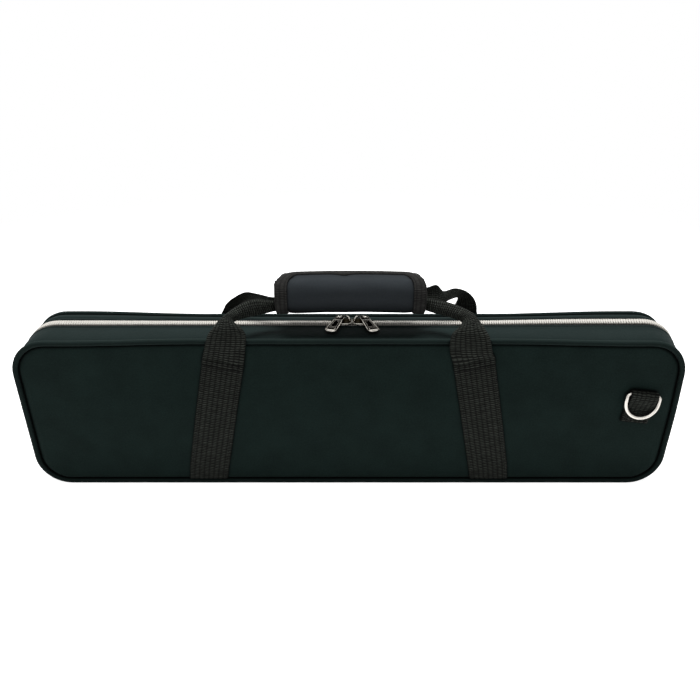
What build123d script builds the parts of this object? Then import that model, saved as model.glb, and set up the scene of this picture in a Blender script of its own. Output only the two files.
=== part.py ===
"""A soft zip case for a set of tuning forks, standing upright.

X runs along the case, Y from its front (negative) to its rear, and Z up.
The origin is on the floor under the middle of the case. Sizes are in millimetres.
"""

from build123d import *
import math
import os

# The case as a whole
case_length = 430.0
case_height = 110.0
case_depth = 50.0
top_corner_radius = 24.0
bottom_corner_radius = 22.0
zip_set_back = 4.0  # how far the line of the teeth lies behind the middle of the case

# Walls, from the outside in
piping_radius = 1.8
piping_sides = 8
panel_sink = 1.0  # the panel's face lies this far behind the piping's front
panel_thickness = 2.7
panel_edge_drop = 1.0
panel_edge_run = 1.8
skin_inset = 1.0  # the gusset lies this far inside the piping's outer line
gusset_thickness = 3.0
lip_thickness = 1.2
lip_width = 5.0
board_thickness = 4.0
wall_padding_thickness = 3.5
lining_thickness = 0.8
layer_gap = 0.05

# Zip
tape_thickness = 0.6
tape_hidden = 5.0  # width of tape sewn in under the gusset's lip
zip_opening = 10.4  # between the two lips
tooth_pitch = 4.2
tooth_length = 3.8
tooth_overlap = 0.7  # how far a tooth reaches over the middle of the chain
tooth_root_width = 1.45
tooth_head_width = 1.75
tooth_thickness = 2.4
zip_end_run = 5.0  # how far the zip runs past each bottom corner
parting = 1.7  # how far each row stands back between the sliders
parting_half_length = 3.4
parting_run = 1.6

# Sliders and pulls
slider_meet_x = 2.3
slider_gap = 0.6
slider_length = 9.6
slider_width = 9.6
slider_plate = 1.1
slider_clearance = 0.2
slider_flange = 1.3
slider_flange_start = 5.2
slider_flange_end = 1.6
slider_corner_cut = 1.7
slider_post_width = 1.6
slider_post_start = 0.4
slider_post_length = 2.0
bridge_width = 2.0
bridge_thickness = 1.1
bridge_height = 3.7
bridge_leg_radius = 0.85
bridge_corner_cut = 0.6
pull_length = 21.5
pull_eye_width = 5.4
pull_tip_width = 8.0
pull_thickness = 1.8
pull_eye_radius = 1.5
pull_rim = 1.15
pull_inset_sink = 0.25
pull_edge = 0.35
pull_corner_cut = 2.2
pull_eye_sides = 12
pull_tilt = 3.0
pull_lean = 14.0  # how far the pulls point away from straight forward, in degrees

# Carrying handle
webbing_width = 26.0
webbing_thickness = 1.6
strap_foot_x = 97.8
strap_foot_z = 4.6
strap_seam_x = 79.6
strap_seam_drop = 14.0
strap_piping_gap = 0.9
strap_crest_rise = 1.0
strap_neck_run = 2.2
grip_rise = 24.0
grip_half_length = 48.0
grip_outer_y = 12.0
grip_outer_z = 13.0
grip_sides = 24
grip_flap_thickness = 2.1
grip_patch_thickness = 0.5
grip_patch_gap = 0.3
grip_liner_thickness = 1.2
grip_web_width = 13.0
grip_web_thickness = 3.6
grip_web_gap = 1.2
binding_thickness = 0.5
binding_width = 7.0
patch_margin = 5.0

# Shoulder-strap rings
ring_wire_radius = 1.2
ring_wire_sides = 8
ring_bow_steps = 14
ring_corner_steps = 3
ring_inner_width = 19.0
ring_drop = 16.2
ring_corner_radius = 1.7
ring_end_distance = 23.7
ring_top_distance = 37.2
ring_lean = 7.0
ring_hang = 8.0
ring_running_gap = 0.08
tab_width = 18.0
tab_webbing = 1.4
tab_length = 21.5

# Hinge along the bottom
hinge_strip_thickness = 0.5
hinge_strip_width = 22.0
hinge_strip_overlap = 3.0  # how far it covers each end of the zip

# Foam insert with fork-shaped pockets
insert_gap = 0.3
insert_base_thickness = 4.0
insert_sheet_thickness = 11.0
pocket_rows = 3
pocket_width = 25.4
pocket_body_length = 122.0
pocket_stem_width = 11.0
pocket_end_wall = 9.0  # foam left past each end of a pocket
pocket_scoop_radius = 9.5

# Insets of the wall's layers, measured in from the piping's outer line
gusset_inset = skin_inset + gusset_thickness
lip_inset = skin_inset + lip_thickness
tape_inset = lip_inset + tape_thickness
chain_inset = lip_inset + tape_thickness / 2
padding_inset = gusset_inset + layer_gap
padding_inner_inset = padding_inset + wall_padding_thickness
lining_inset = padding_inner_inset + layer_gap
lining_inner_inset = lining_inset + lining_thickness

# Depths of the front and rear layers, measured in from each outer face
panel_inner = panel_sink + panel_thickness
board_inner = panel_inner + board_thickness
lining_inner = board_inner + lining_thickness

zip_reach = {"front": case_depth / 2 + zip_set_back, "rear": case_depth / 2 - zip_set_back}
zip_end_x = case_length / 2 - bottom_corner_radius - zip_end_run
tooth_root = tooth_length - tooth_overlap
strap_seam_z = case_height - strap_seam_drop
grip_height = case_height + grip_rise
sides = {"front": -1, "rear": 1}


def outline(inset):
    """The case seen from the front, drawn in by the inset, as a flat sketch."""
    size = (case_length - 2 * inset, case_height - 2 * inset)
    sketch = Pos(0, case_height / 2) * Rectangle(*size)
    sketch = fillet(sketch.vertices().group_by(Axis.Y)[-1], top_corner_radius - inset)
    return fillet(sketch.vertices().group_by(Axis.Y)[0], bottom_corner_radius - inset)


def slab(sketch, front, back):
    """A sketch of the front view made solid between two places along Y."""
    return Pos(0, back, 0) * extrude(Plane.XZ * sketch, amount=back - front)


def layer(side, sketch, near, far):
    """A slab on one side of the case, between two depths from that side's outer face."""
    ends = [sides[side] * (case_depth / 2 - depth) for depth in (near, far)]
    return slab(sketch, min(ends), max(ends))


def ring(side, outer_inset, inner_inset, near, far):
    """A band that runs round the case between two insets and two depths."""
    return layer(side, outline(outer_inset) - outline(inner_inset), near, far)


def save(name, *solids):
    """Writes the solids as one node."""
    pieces = [solid for item in solids for solid in item.solids()]
    shape = pieces[0] if len(pieces) == 1 else Compound(children=pieces)
    export_step(shape, os.path.join("parts", f"{name}.step"))


def panel(side):
    """The padded face panel, with its edge turned down into the seam."""
    plate = layer(side, outline(piping_radius * 2 + layer_gap * 2), panel_sink, panel_inner)
    face = plate.faces().sort_by(Axis.Y)[0 if side == "front" else -1]
    return chamfer(face.edges(), panel_edge_drop, panel_edge_run, reference=face)


def piping(side):
    """The corded edge, faceted lengthways, which stands on one of its flats."""
    y = sides[side] * (case_depth / 2 - piping_radius)
    wire = (Pos(0, y, 0) * (Plane.XZ * outline(piping_radius))).face().outer_wire()
    start = Plane(origin=wire @ 0, x_dir=(0, 1, 0), z_dir=wire % 0)
    flat = RegularPolygon(piping_radius, piping_sides, major_radius=False, rotation=90 - 180 / piping_sides)
    return sweep(start * flat, path=wire)


def gusset(side):
    """The padded strip round the edge, thinned to a lip where it covers the zip tape."""
    lip_end = zip_reach[side] - zip_opening / 2
    wall = ring(side, skin_inset, gusset_inset, panel_inner, lip_end - lip_width)
    return wall + ring(side, skin_inset, lip_inset, lip_end - lip_width, lip_end)


def board(side):
    """The stiff foam board behind the face panel."""
    return layer(side, outline(padding_inset), panel_inner, board_inner)


def wall_padding(side):
    """The stiff foam band behind the gusset, from the board to the lining's rim."""
    lip_end = zip_reach[side] - zip_opening / 2
    return ring(side, padding_inset, padding_inner_inset, board_inner, lip_end - lining_thickness)


def lining(side):
    """The cloth lining: a shallow tray whose rim folds over the foam band."""
    lip_end = zip_reach[side] - zip_opening / 2
    rim_start = lip_end - lining_thickness
    floor = layer(side, outline(lining_inset), board_inner, lining_inner)
    wall = ring(side, lining_inset, lining_inner_inset, lining_inner, rim_start)
    rim = ring(side, tape_inset + layer_gap, lining_inner_inset, rim_start, lip_end)
    return floor + wall + rim


def bottom_gap(half_length):
    """A block over the bottom middle, where the zip leaves room for the hinge."""
    return Box(2 * half_length, case_depth, bottom_corner_radius)


def zip_tape(side):
    """The woven tape of one row of teeth, cut back where the sliders part the rows."""
    reach = zip_reach[side]
    edge = reach - tooth_root
    tape = ring(side, lip_inset, tape_inset, reach - zip_opening / 2 - tape_hidden, edge)
    y_edge = sides[side] * (case_depth / 2 - edge)
    parted = Pos(slider_meet_x, y_edge, case_height) * Box(
        2 * (parting_half_length + parting_run + tooth_pitch), 2 * parting, 2 * top_corner_radius
    )
    return tape - bottom_gap(zip_end_x) - parted


def tooth_line():
    """The line that the teeth follow, up the left side, over the top and down the right."""
    x = case_length / 2 - chain_inset
    low = chain_inset
    high = case_height - chain_inset
    low_radius = bottom_corner_radius - chain_inset
    high_radius = top_corner_radius - chain_inset
    corners = [(-zip_end_x, low), (-x, low), (-x, high), (x, high), (x, low), (zip_end_x, low)]
    radii = (low_radius, high_radius, high_radius, low_radius)
    return Plane.XZ * FilletPolyline(*corners, radius=radii)


def set_back(x, z):
    """How far a tooth stands back from the closed chain because the sliders part it."""
    if z < case_height / 2:
        return 0.0
    run = (abs(x - slider_meet_x) - parting_half_length) / parting_run
    return parting * min(1.0, max(0.0, 1.0 - run))


def tooth(side):
    """One tooth on the X-Y plane, with its root on its own tape's side."""
    sign = sides[side]
    root = tooth_root_width / 2
    head = tooth_head_width / 2
    reach = sign * tooth_root
    tip = -sign * tooth_overlap
    shape = Polyline((-root, reach), (root, reach), (head, tip), (-head, tip), close=True)
    return extrude(make_face(shape), amount=tooth_thickness / 2, both=True)


def zip_teeth(side):
    """One row of teeth, half a pitch out of step with the other row so that they mesh."""
    wire = Wire(tooth_line().edges())
    shape = tooth(side).solids()[0]
    count = int(wire.length / tooth_pitch)
    phase = 0.25 if side == "front" else 0.75
    teeth = []
    for index in range(count):
        distance = (index + phase) * wire.length / count
        place = wire.position_at(distance, position_mode=PositionMode.LENGTH)
        along = wire.tangent_at(distance, position_mode=PositionMode.LENGTH)
        y = zip_set_back + sides[side] * set_back(place.X, place.Z)
        outward = along.cross(Vector(0, 1, 0))
        frame = Plane(origin=(place.X, y, place.Z), x_dir=along, z_dir=outward)
        teeth.append(shape.moved(frame.location))
    return Compound(children=teeth)


def mirrored_to_left(shape):
    """The left slider's shape, from the right one's."""
    return mirror(shape, about=Plane.YZ.offset(slider_meet_x))


def chain_level():
    """The height of the middle of the teeth along the top of the case."""
    return case_height - chain_inset


def block(x_range, y_range, z_range):
    """A box between two values along each axis."""
    sizes = [high - low for low, high in (x_range, y_range, z_range)]
    middle = [(high + low) / 2 for low, high in (x_range, y_range, z_range)]
    return Pos(*middle) * Box(*sizes)


plate_offset = tooth_thickness / 2 + slider_clearance
plate_top = chain_level() + plate_offset + slider_plate
bridge_leg_x = slider_meet_x + slider_gap / 2 + slider_length - 1.6
pull_level = plate_top + 0.5


def slider_body():
    """The right slider: two plates, the post that parts the rows, flanges and a bridge."""
    start = slider_meet_x + slider_gap / 2
    end = start + slider_length
    half = slider_width / 2
    y_range = (zip_set_back - half, zip_set_back + half)
    middle = chain_level()
    top = block((start, end), y_range, (middle + plate_offset, plate_top))
    bottom = block((start, end), y_range, (middle - plate_offset - slider_plate, middle - plate_offset))
    body = Part()
    for plate in (top, bottom):
        body += chamfer(plate.edges().filter_by(Axis.Z), slider_corner_cut)
    post_start = start + slider_post_start
    body += block(
        (post_start, post_start + slider_post_length),
        (zip_set_back - slider_post_width / 2, zip_set_back + slider_post_width / 2),
        (middle - plate_offset, middle + plate_offset),
    )
    slot = tape_thickness / 2 + slider_clearance
    for sign in (-1, 1):
        near = zip_set_back + sign * (half - slider_flange)
        far = zip_set_back + sign * half
        y_flange = (min(near, far), max(near, far))
        x_flange = (start + slider_flange_start, end - slider_flange_end)
        body += block(x_flange, y_flange, (middle + slot, middle + plate_offset))
        body += block(x_flange, y_flange, (middle - plate_offset, middle - slot))
    return body + bridge()


def bridge():
    """The arched bar on top of the slider that carries the pull."""
    nose_x = slider_meet_x + slider_gap / 2 + 2.0
    top = plate_top + bridge_height
    beam = block(
        (nose_x - bridge_thickness / 2, bridge_leg_x + bridge_leg_radius),
        (zip_set_back - bridge_width / 2, zip_set_back + bridge_width / 2),
        (top - bridge_thickness, top),
    )
    beam = chamfer(beam.edges().filter_by(Axis.Y).group_by(Axis.Z)[-1], bridge_corner_cut)
    nose_leg = block(
        (nose_x - bridge_thickness / 2, nose_x + bridge_thickness / 2),
        (zip_set_back - bridge_width / 2, zip_set_back + bridge_width / 2),
        (plate_top, top - bridge_thickness),
    )
    tail_leg = Pos(bridge_leg_x, zip_set_back, plate_top) * Cylinder(
        bridge_leg_radius,
        bridge_height - bridge_thickness,
        align=(Align.CENTER, Align.CENTER, Align.MIN),
    )
    return beam + nose_leg + tail_leg


def pull_plane():
    """Where the right pull lies: turned outward and tipped down a little about its eye."""
    return Pos(bridge_leg_x, zip_set_back, pull_level) * Rot(0, 0, pull_lean) * Rot(pull_tilt, 0, 0)


def pull_blank(margin, sink):
    """The pull's tapered outline, drawn in by a margin, as a solid plate under its top face."""
    eye = pull_eye_width / 2 - margin
    tip = pull_tip_width / 2 - margin
    back = pull_eye_width / 2
    end = back - pull_length
    shape = Polyline(
        (-eye, back - margin), (eye, back - margin), (tip, end + margin), (-tip, end + margin), close=True
    )
    face = make_face(shape)
    face = chamfer(face.vertices().group_by(Axis.Y)[0], pull_corner_cut - margin)
    return Pos(0, 0, sink) * extrude(face, amount=pull_thickness - 2 * sink)


def pull_window():
    """The plate that fills the pull's window, short of its eye."""
    cut = Pos(0, -pull_eye_width / 2 - 1.0, 0) * Box(
        4 * pull_tip_width, 2 * pull_length, 4 * pull_thickness, align=(Align.CENTER, Align.MAX, Align.CENTER)
    )
    return pull_blank(pull_rim, 0) & cut, pull_blank(pull_rim, pull_inset_sink) & cut


def pull_pieces():
    """The right pull: its metal frame and the dark plate let into it."""
    window, plate = pull_window()
    blank = pull_blank(0, 0)
    bevelled = chamfer(blank.edges().group_by(Axis.Z)[-1], pull_edge)
    eye = extrude(RegularPolygon(pull_eye_radius, pull_eye_sides), amount=2 * pull_thickness, both=True)
    frame = bevelled - eye - window
    return pull_plane() * frame, pull_plane() * plate


def strap_lean():
    """The angle by which each strap leans in towards the grip."""
    return math.atan2(strap_foot_x - strap_seam_x, strap_seam_z - strap_foot_z)


def strap_leg(side):
    """The two sewn lengths of webbing on a face panel."""
    lean = strap_lean()
    half_foot = webbing_width / 2 / math.cos(lean)
    across = Vector(math.cos(lean), math.sin(lean)) * (webbing_width / 2)
    top = Vector(strap_seam_x, strap_seam_z)
    corners = [
        Vector(strap_foot_x - half_foot, strap_foot_z),
        Vector(strap_foot_x + half_foot, strap_foot_z),
        top + across,
        top - across,
    ]
    right = make_face(Polyline(*corners, close=True))
    legs = right + mirror(right, about=Plane.YZ)
    return layer(side, legs, panel_sink - webbing_thickness, panel_sink)


def grip_web_y(side):
    """The middle of one strap inside the grip."""
    return sides[side] * (grip_web_gap + grip_web_thickness) / 2


def strap_stations(side):
    """Places, widths and thicknesses along the right free strap, from its seam to the grip."""
    sign = sides[side]
    lean = math.tan(strap_lean())
    face_y = case_depth / 2 - panel_sink + webbing_thickness / 2
    over_piping = case_depth / 2 + webbing_thickness / 2 + strap_piping_gap
    crest = case_height + strap_crest_rise
    crest_x = strap_seam_x - lean * (crest - strap_seam_z)
    neck_x = crest_x - strap_neck_run
    entry_x = grip_half_length - 1.0
    bunched = (grip_web_width, grip_web_thickness)
    return [
        ((strap_seam_x, sign * face_y, strap_seam_z), webbing_width, webbing_thickness),
        ((crest_x, sign * over_piping, crest), webbing_width, webbing_thickness),
        ((crest_x - 0.8, sign * 23.6, crest + 6.0), 23.0, 1.9),
        ((neck_x, sign * 19.0, grip_height - 11.5), 20.0, 2.3),
        ((neck_x - 4.5, sign * 13.5, grip_height - 6.2), 17.0, 2.7),
        ((neck_x - 11.5, sign * 8.2, grip_height - 2.6), 15.0, 3.1),
        ((neck_x - 19.5, sign * 4.6, grip_height - 0.7), 13.6, 3.4),
        ((entry_x, grip_web_y(side), grip_height), *bunched),
    ]


def faceted_solid(sections, closed=False):
    """A solid through many-cornered sections, its sides made of flat triangles."""
    faces = []
    following = sections[1:] + sections[:1] if closed else sections[1:]
    for here, there in zip(sections, following):
        for index in range(len(here)):
            a, b = here[index - 1], here[index]
            c, d = there[index], there[index - 1]
            faces.append(Face(Wire.make_polygon([a, b, c])))
            faces.append(Face(Wire.make_polygon([a, c, d])))
    if not closed:
        faces.append(Face(Wire.make_polygon(sections[0])))
        faces.append(Face(Wire.make_polygon(sections[-1])))
    return Solid(Shell(faces))


def strap_span(side):
    """The free webbing between the seams and the grip, turning edgeways as it rises."""
    stations = strap_stations(side)
    places = [Vector(*place) for place, width, thickness in stations]
    outward = Vector(0, sides[side], 0)
    sections = []
    for index, (place, width, thickness) in enumerate(stations):
        along = places[min(index + 1, len(places) - 1)] - places[max(index - 1, 0)]
        if index == 0:
            along = Vector(-math.sin(strap_lean()), 0, math.cos(strap_lean()))
        if index == len(stations) - 1:
            along = Vector(-1, 0, 0)
        across = along.cross(outward).normalized() * (width / 2)
        through = across.cross(along).normalized() * (thickness / 2)
        middle = places[index]
        corners = [middle - across - through, middle + across - through]
        corners += [middle + across + through, middle - across + through]
        sections.append(corners)
    right = faceted_solid(sections)
    return [right, mirror(right, about=Plane.YZ)]


def grip_web(side):
    """The length of webbing that runs bunched through the grip."""
    return Pos(0, grip_web_y(side), grip_height) * Box(
        2 * (grip_half_length - 1.0), grip_web_thickness, grip_web_width
    )


def grip_oval(shrink):
    """The grip's cross-section, drawn in by shrink, as a many-sided sketch in Y and Z."""
    half_y = grip_outer_y - shrink
    half_z = grip_outer_z - shrink
    corners = []
    for index in range(grip_sides):
        angle = 2 * math.pi * index / grip_sides
        corners.append((half_y * math.cos(angle), half_z * math.sin(angle)))
    return make_face(Polyline(*corners, close=True))


def grip_half(side, outer, inner, half_length):
    """The front or rear half of a sleeve round the grip, between two ovals."""
    keep = Pos(sides[side] * grip_outer_y, 0) * Rectangle(2 * grip_outer_y, 4 * grip_outer_z)
    section = (grip_oval(outer) - grip_oval(inner)) & keep
    plane = Plane(origin=(-half_length, 0, grip_height), x_dir=(0, 1, 0), z_dir=(1, 0, 0))
    return extrude(plane * section, amount=2 * half_length)


flap_inner = grip_flap_thickness
loop_inner = flap_inner + grip_patch_thickness
hook_outer = loop_inner + grip_patch_gap
liner_outer = hook_outer + grip_patch_thickness
liner_inner = liner_outer + grip_liner_thickness


def grip_sleeve():
    """The part of the grip that stays round the straps: a padded back and a thin front."""
    back = grip_half("rear", 0, liner_inner, grip_half_length)
    return back + grip_half("front", liner_outer, liner_inner, grip_half_length)


def grip_flap():
    """The padded flap that closes the grip over the front."""
    return grip_half("front", 0, flap_inner, grip_half_length)


def grip_patch(outer, inner):
    """A strip of hook or loop tape on the front of the grip."""
    strip = grip_half("front", outer, inner, grip_half_length - patch_margin)
    window = Pos(0, -grip_outer_y, grip_height) * Box(
        4 * grip_half_length, 2 * grip_outer_y, 1.3 * grip_outer_z
    )
    return strip & window


def grip_binding(side):
    """The tape bound round both ends of one half of the grip."""
    whole = grip_half(side, -binding_thickness, 0, grip_half_length)
    middle = Pos(0, 0, grip_height) * Box(
        2 * (grip_half_length - binding_width), 4 * grip_outer_y, 4 * grip_outer_z
    )
    return whole - middle


def ring_place(side):
    """The middle of a ring's bar, leaning in the panel's plane."""
    sign = sides[side]
    y = sign * (case_depth / 2 - panel_sink + ring_wire_radius + ring_running_gap + tab_webbing)
    facing = Rot(0, 0, 0) if side == "front" else Rot(0, 0, 180)
    x = case_length / 2 - ring_end_distance
    return Pos(-sign * x, y, case_height - ring_top_distance) * facing * Rot(0, ring_lean, 0)


def ring_tab(side):
    """The folded webbing tab that holds a ring's bar in its upper fold."""
    bore = ring_wire_radius + ring_running_gap
    fold = bore + tab_webbing
    wrap = Circle(fold)
    layers = Pos(fold - tab_webbing, -tab_length / 2) * Rectangle(2 * tab_webbing, tab_length)
    section = (wrap + layers) - Circle(bore)
    plane = Plane(origin=(-tab_width / 2, 0, 0), x_dir=(0, 1, 0), z_dir=(1, 0, 0))
    return ring_place(side) * extrude(plane * section, amount=tab_width)


def ring_wire(side):
    """The D-shaped ring, hanging from its bar over the tab."""
    half = ring_inner_width / 2 + ring_wire_radius
    leg_foot = half - ring_drop
    corner = half - ring_corner_radius
    places = []
    for step in range(ring_corner_steps + 1):
        angle = math.radians(90 - 90 * step / ring_corner_steps)
        place = (corner + ring_corner_radius * math.cos(angle), ring_corner_radius * (math.sin(angle) - 1))
        places.append((place, angle))
    for step in range(ring_bow_steps + 1):
        angle = math.radians(-180 * step / ring_bow_steps)
        places.append(((half * math.cos(angle), leg_foot + half * math.sin(angle)), angle))
    for step in range(ring_corner_steps + 1):
        angle = math.radians(180 - 90 * step / ring_corner_steps)
        place = (-corner + ring_corner_radius * math.cos(angle), ring_corner_radius * (math.sin(angle) - 1))
        places.append((place, angle))
    sections = []
    for (x, z), outward in places:
        section = []
        for index in range(ring_wire_sides):
            angle = 2 * math.pi * index / ring_wire_sides
            reach = ring_wire_radius * math.cos(angle)
            through = ring_wire_radius * math.sin(angle)
            section.append(Vector(x + reach * math.cos(outward), through, z + reach * math.sin(outward)))
        sections.append(section)
    return ring_place(side) * Rot(-ring_hang, 0, 0) * faceted_solid(sections, closed=True)


def hinge_strip():
    """The cloth strip under the case that joins the two halves along the bottom."""
    half = hinge_strip_width / 2
    return block(
        (-zip_end_x - hinge_strip_overlap, zip_end_x + hinge_strip_overlap),
        (zip_set_back - half, zip_set_back + half),
        (skin_inset - hinge_strip_thickness, skin_inset),
    )


def insert_outline():
    """The foam insert seen from the front, a loose fit inside the lining."""
    return outline(lining_inner_inset + insert_gap)


def insert_size(overall):
    """The insert's length or height, from the case's own."""
    return overall - 2 * (lining_inner_inset + insert_gap)


def pocket(length):
    """One fork-shaped pocket, its prongs' end at the origin and its stem along X."""
    body = Pos(pocket_body_length / 2, 0) * Rectangle(pocket_body_length, pocket_width)
    stem_length = length - pocket_body_length
    stem_place = Pos(pocket_body_length + stem_length / 2, 0)
    stem = stem_place * Rectangle(stem_length, pocket_stem_width)
    return body + stem + stem_place * Circle(pocket_scoop_radius)


def pockets():
    """Two columns of pockets, with every other row turned end for end."""
    wall = (insert_size(case_height) - pocket_rows * pocket_width) / (pocket_rows + 1)
    pitch = pocket_width + wall
    length = insert_size(case_length) / 2 - 2 * pocket_end_wall
    cut = Sketch()
    for row in range(pocket_rows):
        z = case_height / 2 + (row - (pocket_rows - 1) / 2) * pitch
        for column in (-1, 1):
            turned = (row + (column > 0)) % 2 == 0
            start = pocket_end_wall if turned == (column > 0) else pocket_end_wall + length
            angle = 0 if turned else 180
            cut += Pos(column * start, z) * Rot(0, 0, angle) * pocket(length)
    return cut


def fork_insert():
    """The backing slab and the die-cut sheet of the foam insert."""
    start = lining_inner
    middle = start + insert_base_thickness
    base = layer("front", insert_outline(), start, middle)
    sheet = layer("front", insert_outline() - pockets(), middle, middle + insert_sheet_thickness)
    return base, sheet


def main():
    os.makedirs("parts", exist_ok=True)
    for side in sides:
        save(f"{side}_panel", panel(side))
        save(f"{side}_piping", piping(side))
        save(f"{side}_gusset", gusset(side))
        save(f"{side}_foam_board", board(side))
        save(f"{side}_wall_padding", wall_padding(side))
        save(f"{side}_lining", lining(side))
        save(f"{side}_zip_tape", zip_tape(side))
        save(f"{side}_zip_teeth", zip_teeth(side))
        save(f"{side}_handle_legs", strap_leg(side))
        save(f"{side}_handle_spans", *strap_span(side))
        save(f"{side}_grip_webbing", grip_web(side))
        save(f"{side}_ring_tab", ring_tab(side))
        save(f"{side}_d_ring", ring_wire(side))
    body = slider_body()
    frame, plate = pull_pieces()
    save("slider_right", body)
    save("slider_left", mirrored_to_left(body))
    save("pull_frame_right", frame)
    save("pull_frame_left", mirrored_to_left(frame))
    save("pull_plate_right", plate)
    save("pull_plate_left", mirrored_to_left(plate))
    save("grip_sleeve", grip_sleeve())
    save("grip_flap", grip_flap())
    save("grip_hook_patch", grip_patch(hook_outer, liner_outer))
    save("grip_loop_patch", grip_patch(flap_inner, loop_inner))
    save("grip_sleeve_binding", grip_binding("rear"))
    save("grip_flap_binding", grip_binding("front"))
    save("hinge_strip", hinge_strip())
    base, sheet = fork_insert()
    save("fork_insert_base", base)
    save("fork_insert_sheet", sheet)


main()
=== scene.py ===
"""A soft zip case for tuning forks, standing upright on a pale floor.

Sizes are in millimetres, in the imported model's frame: X runs along the case, Y from its
front to its rear, and Z up. They turn into metres as each mesh is made.
"""

import math

import bmesh
import bpy
from mathutils import Matrix, Vector, noise


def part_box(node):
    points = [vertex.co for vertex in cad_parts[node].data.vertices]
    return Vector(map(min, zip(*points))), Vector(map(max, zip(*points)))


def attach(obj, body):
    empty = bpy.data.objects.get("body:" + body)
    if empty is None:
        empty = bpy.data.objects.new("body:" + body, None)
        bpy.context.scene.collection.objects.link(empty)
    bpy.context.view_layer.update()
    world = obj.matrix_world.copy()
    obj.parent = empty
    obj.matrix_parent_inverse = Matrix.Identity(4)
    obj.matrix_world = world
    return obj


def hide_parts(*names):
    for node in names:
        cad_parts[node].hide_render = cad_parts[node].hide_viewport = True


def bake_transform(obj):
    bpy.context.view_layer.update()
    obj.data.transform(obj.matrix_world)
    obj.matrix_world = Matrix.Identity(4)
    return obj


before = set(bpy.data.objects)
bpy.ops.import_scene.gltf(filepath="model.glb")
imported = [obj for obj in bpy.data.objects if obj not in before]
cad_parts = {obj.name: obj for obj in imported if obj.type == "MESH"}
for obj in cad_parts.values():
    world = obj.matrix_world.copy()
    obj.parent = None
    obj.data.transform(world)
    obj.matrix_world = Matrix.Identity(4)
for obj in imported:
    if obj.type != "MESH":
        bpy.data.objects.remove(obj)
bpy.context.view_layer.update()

MM = 0.001
FRONT, REAR = -1, 1
SIDE_NAMES = {FRONT: "front", REAR: "rear"}
SIDE_BODIES = {FRONT: "tray", REAR: "lid"}


def node_box(node):
    """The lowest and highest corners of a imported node, in millimetres."""
    low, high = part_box(node)
    return Vector(low) / MM, Vector(high) / MM


# The case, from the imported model
cord_low, cord_high = node_box("front_piping")
CASE_LENGTH = cord_high.x - cord_low.x
CASE_HEIGHT = cord_high.z
HALF_DEPTH = 25.0
TOP_RADIUS = 24.0
BOTTOM_RADIUS = 22.0
strip_low, strip_high = node_box("hinge_strip")
ZIP_Y = (strip_low.y + strip_high.y) / 2
ZIP_END_X = strip_high.x - 3.0

# The shell's layers, as insets from the outer line or depths from the outer faces
CORD_RADIUS = 1.8
SEAM_INSET = 3.5
PANEL_SEAM_DEPTH = 3.1
PANEL_TUCK = 1.05
PANEL_FACE_DEPTH = 1.0
PANEL_BACK_DEPTH = 3.7
PANEL_CROWN = 0.55
GUSSET_INSET = 1.0
GUSSET_INNER_INSET = 4.0
LIP_INNER_INSET = 2.15
LIP_WIDTH = 5.0
TAPE_INSET = 2.2
TAPE_INNER_INSET = 2.8
CHAIN_INSET = 2.5
ZIP_OPENING = 10.4
BOARD_DEPTH = 7.7
PADDING_INSET = 4.05
PADDING_INNER_INSET = 7.55
LINING_INSET = 7.6
LINING_INNER_INSET = 8.4
LINING_DEPTH = 8.5
INSERT_INSET = 8.7

# An inset deep enough to bring a face's line onto its middle line, and that line's share in length
MIDDLE_INSET = 60.0
MIDDLE_LINE_SHARE = 0.85

# How the long top edges draw in towards the zip and sag a little
PINCH = 2.7
REAR_SAG = 1.3
PINCH_FULL_X = 95.0
PINCH_NONE_X = 182.0
PINCH_LOW_Z = 48.0
RIDGE_SPREAD = 9.0
RIDGE_BACK = 1.9
RIDGE_BACK_RIGHT = 1.3
RIDGE_RISE = 0.8
RIDGE_RISE_RIGHT = 0.6
LEFT_SWELL = 1.6
RIGHT_SWELL = 4.6
LOW_SWELL = 1.2
SWELL_FROM_X = 165.0
SWELL_RUN = 40.0
SWELL_SPREAD_FRONT, SWELL_SPREAD_REAR = 0.62, 1.3  # as shares of half the depth
SWELL_FOOT_Z, SWELL_FOOT_RUN = 6.0, 60.0
LOW_SWELL_TOP_Z, LOW_SWELL_RUN = 100.0, 50.0
RIDGE_FOOT_Z, RIDGE_FOOT_RUN = 60.0, 40.0
RIDGE_RIGHT_X, RIDGE_RIGHT_RUN = 60.0, 100.0

# Sliders and pulls
SLIDER_MEET_X = 2.3
SLIDER_GAP = 0.6
SLIDER_LENGTH = 9.6
PARTING = 1.7
PARTING_HALF_LENGTH = 3.4
PARTING_RUN = 1.6

# Handle
WEBBING_WIDTH = 26.4
WEBBING_THICKNESS = 1.6
OVERLAP_LIFT = 1.1
STRAP_FOOT = (97.8, 4.6)
STRAP_SEAM = (79.6, 96.0)
grip_low, grip_high = node_box("grip_sleeve")
GRIP_HALF_LENGTH = grip_high.x - 1.5
GRIP_ARCH = 1.1
GRIP_SHIFT = 1.2
GRIP_HALF_Z = (grip_high.z - grip_low.z) / 2
GRIP_Z = (grip_high.z + grip_low.z) / 2
GRIP_HALF_Y = grip_high.y


def smooth(value):
    """An S-shaped step from 0 to 1."""
    value = min(1.0, max(0.0, value))
    return value * value * (3 - 2 * value)


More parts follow.
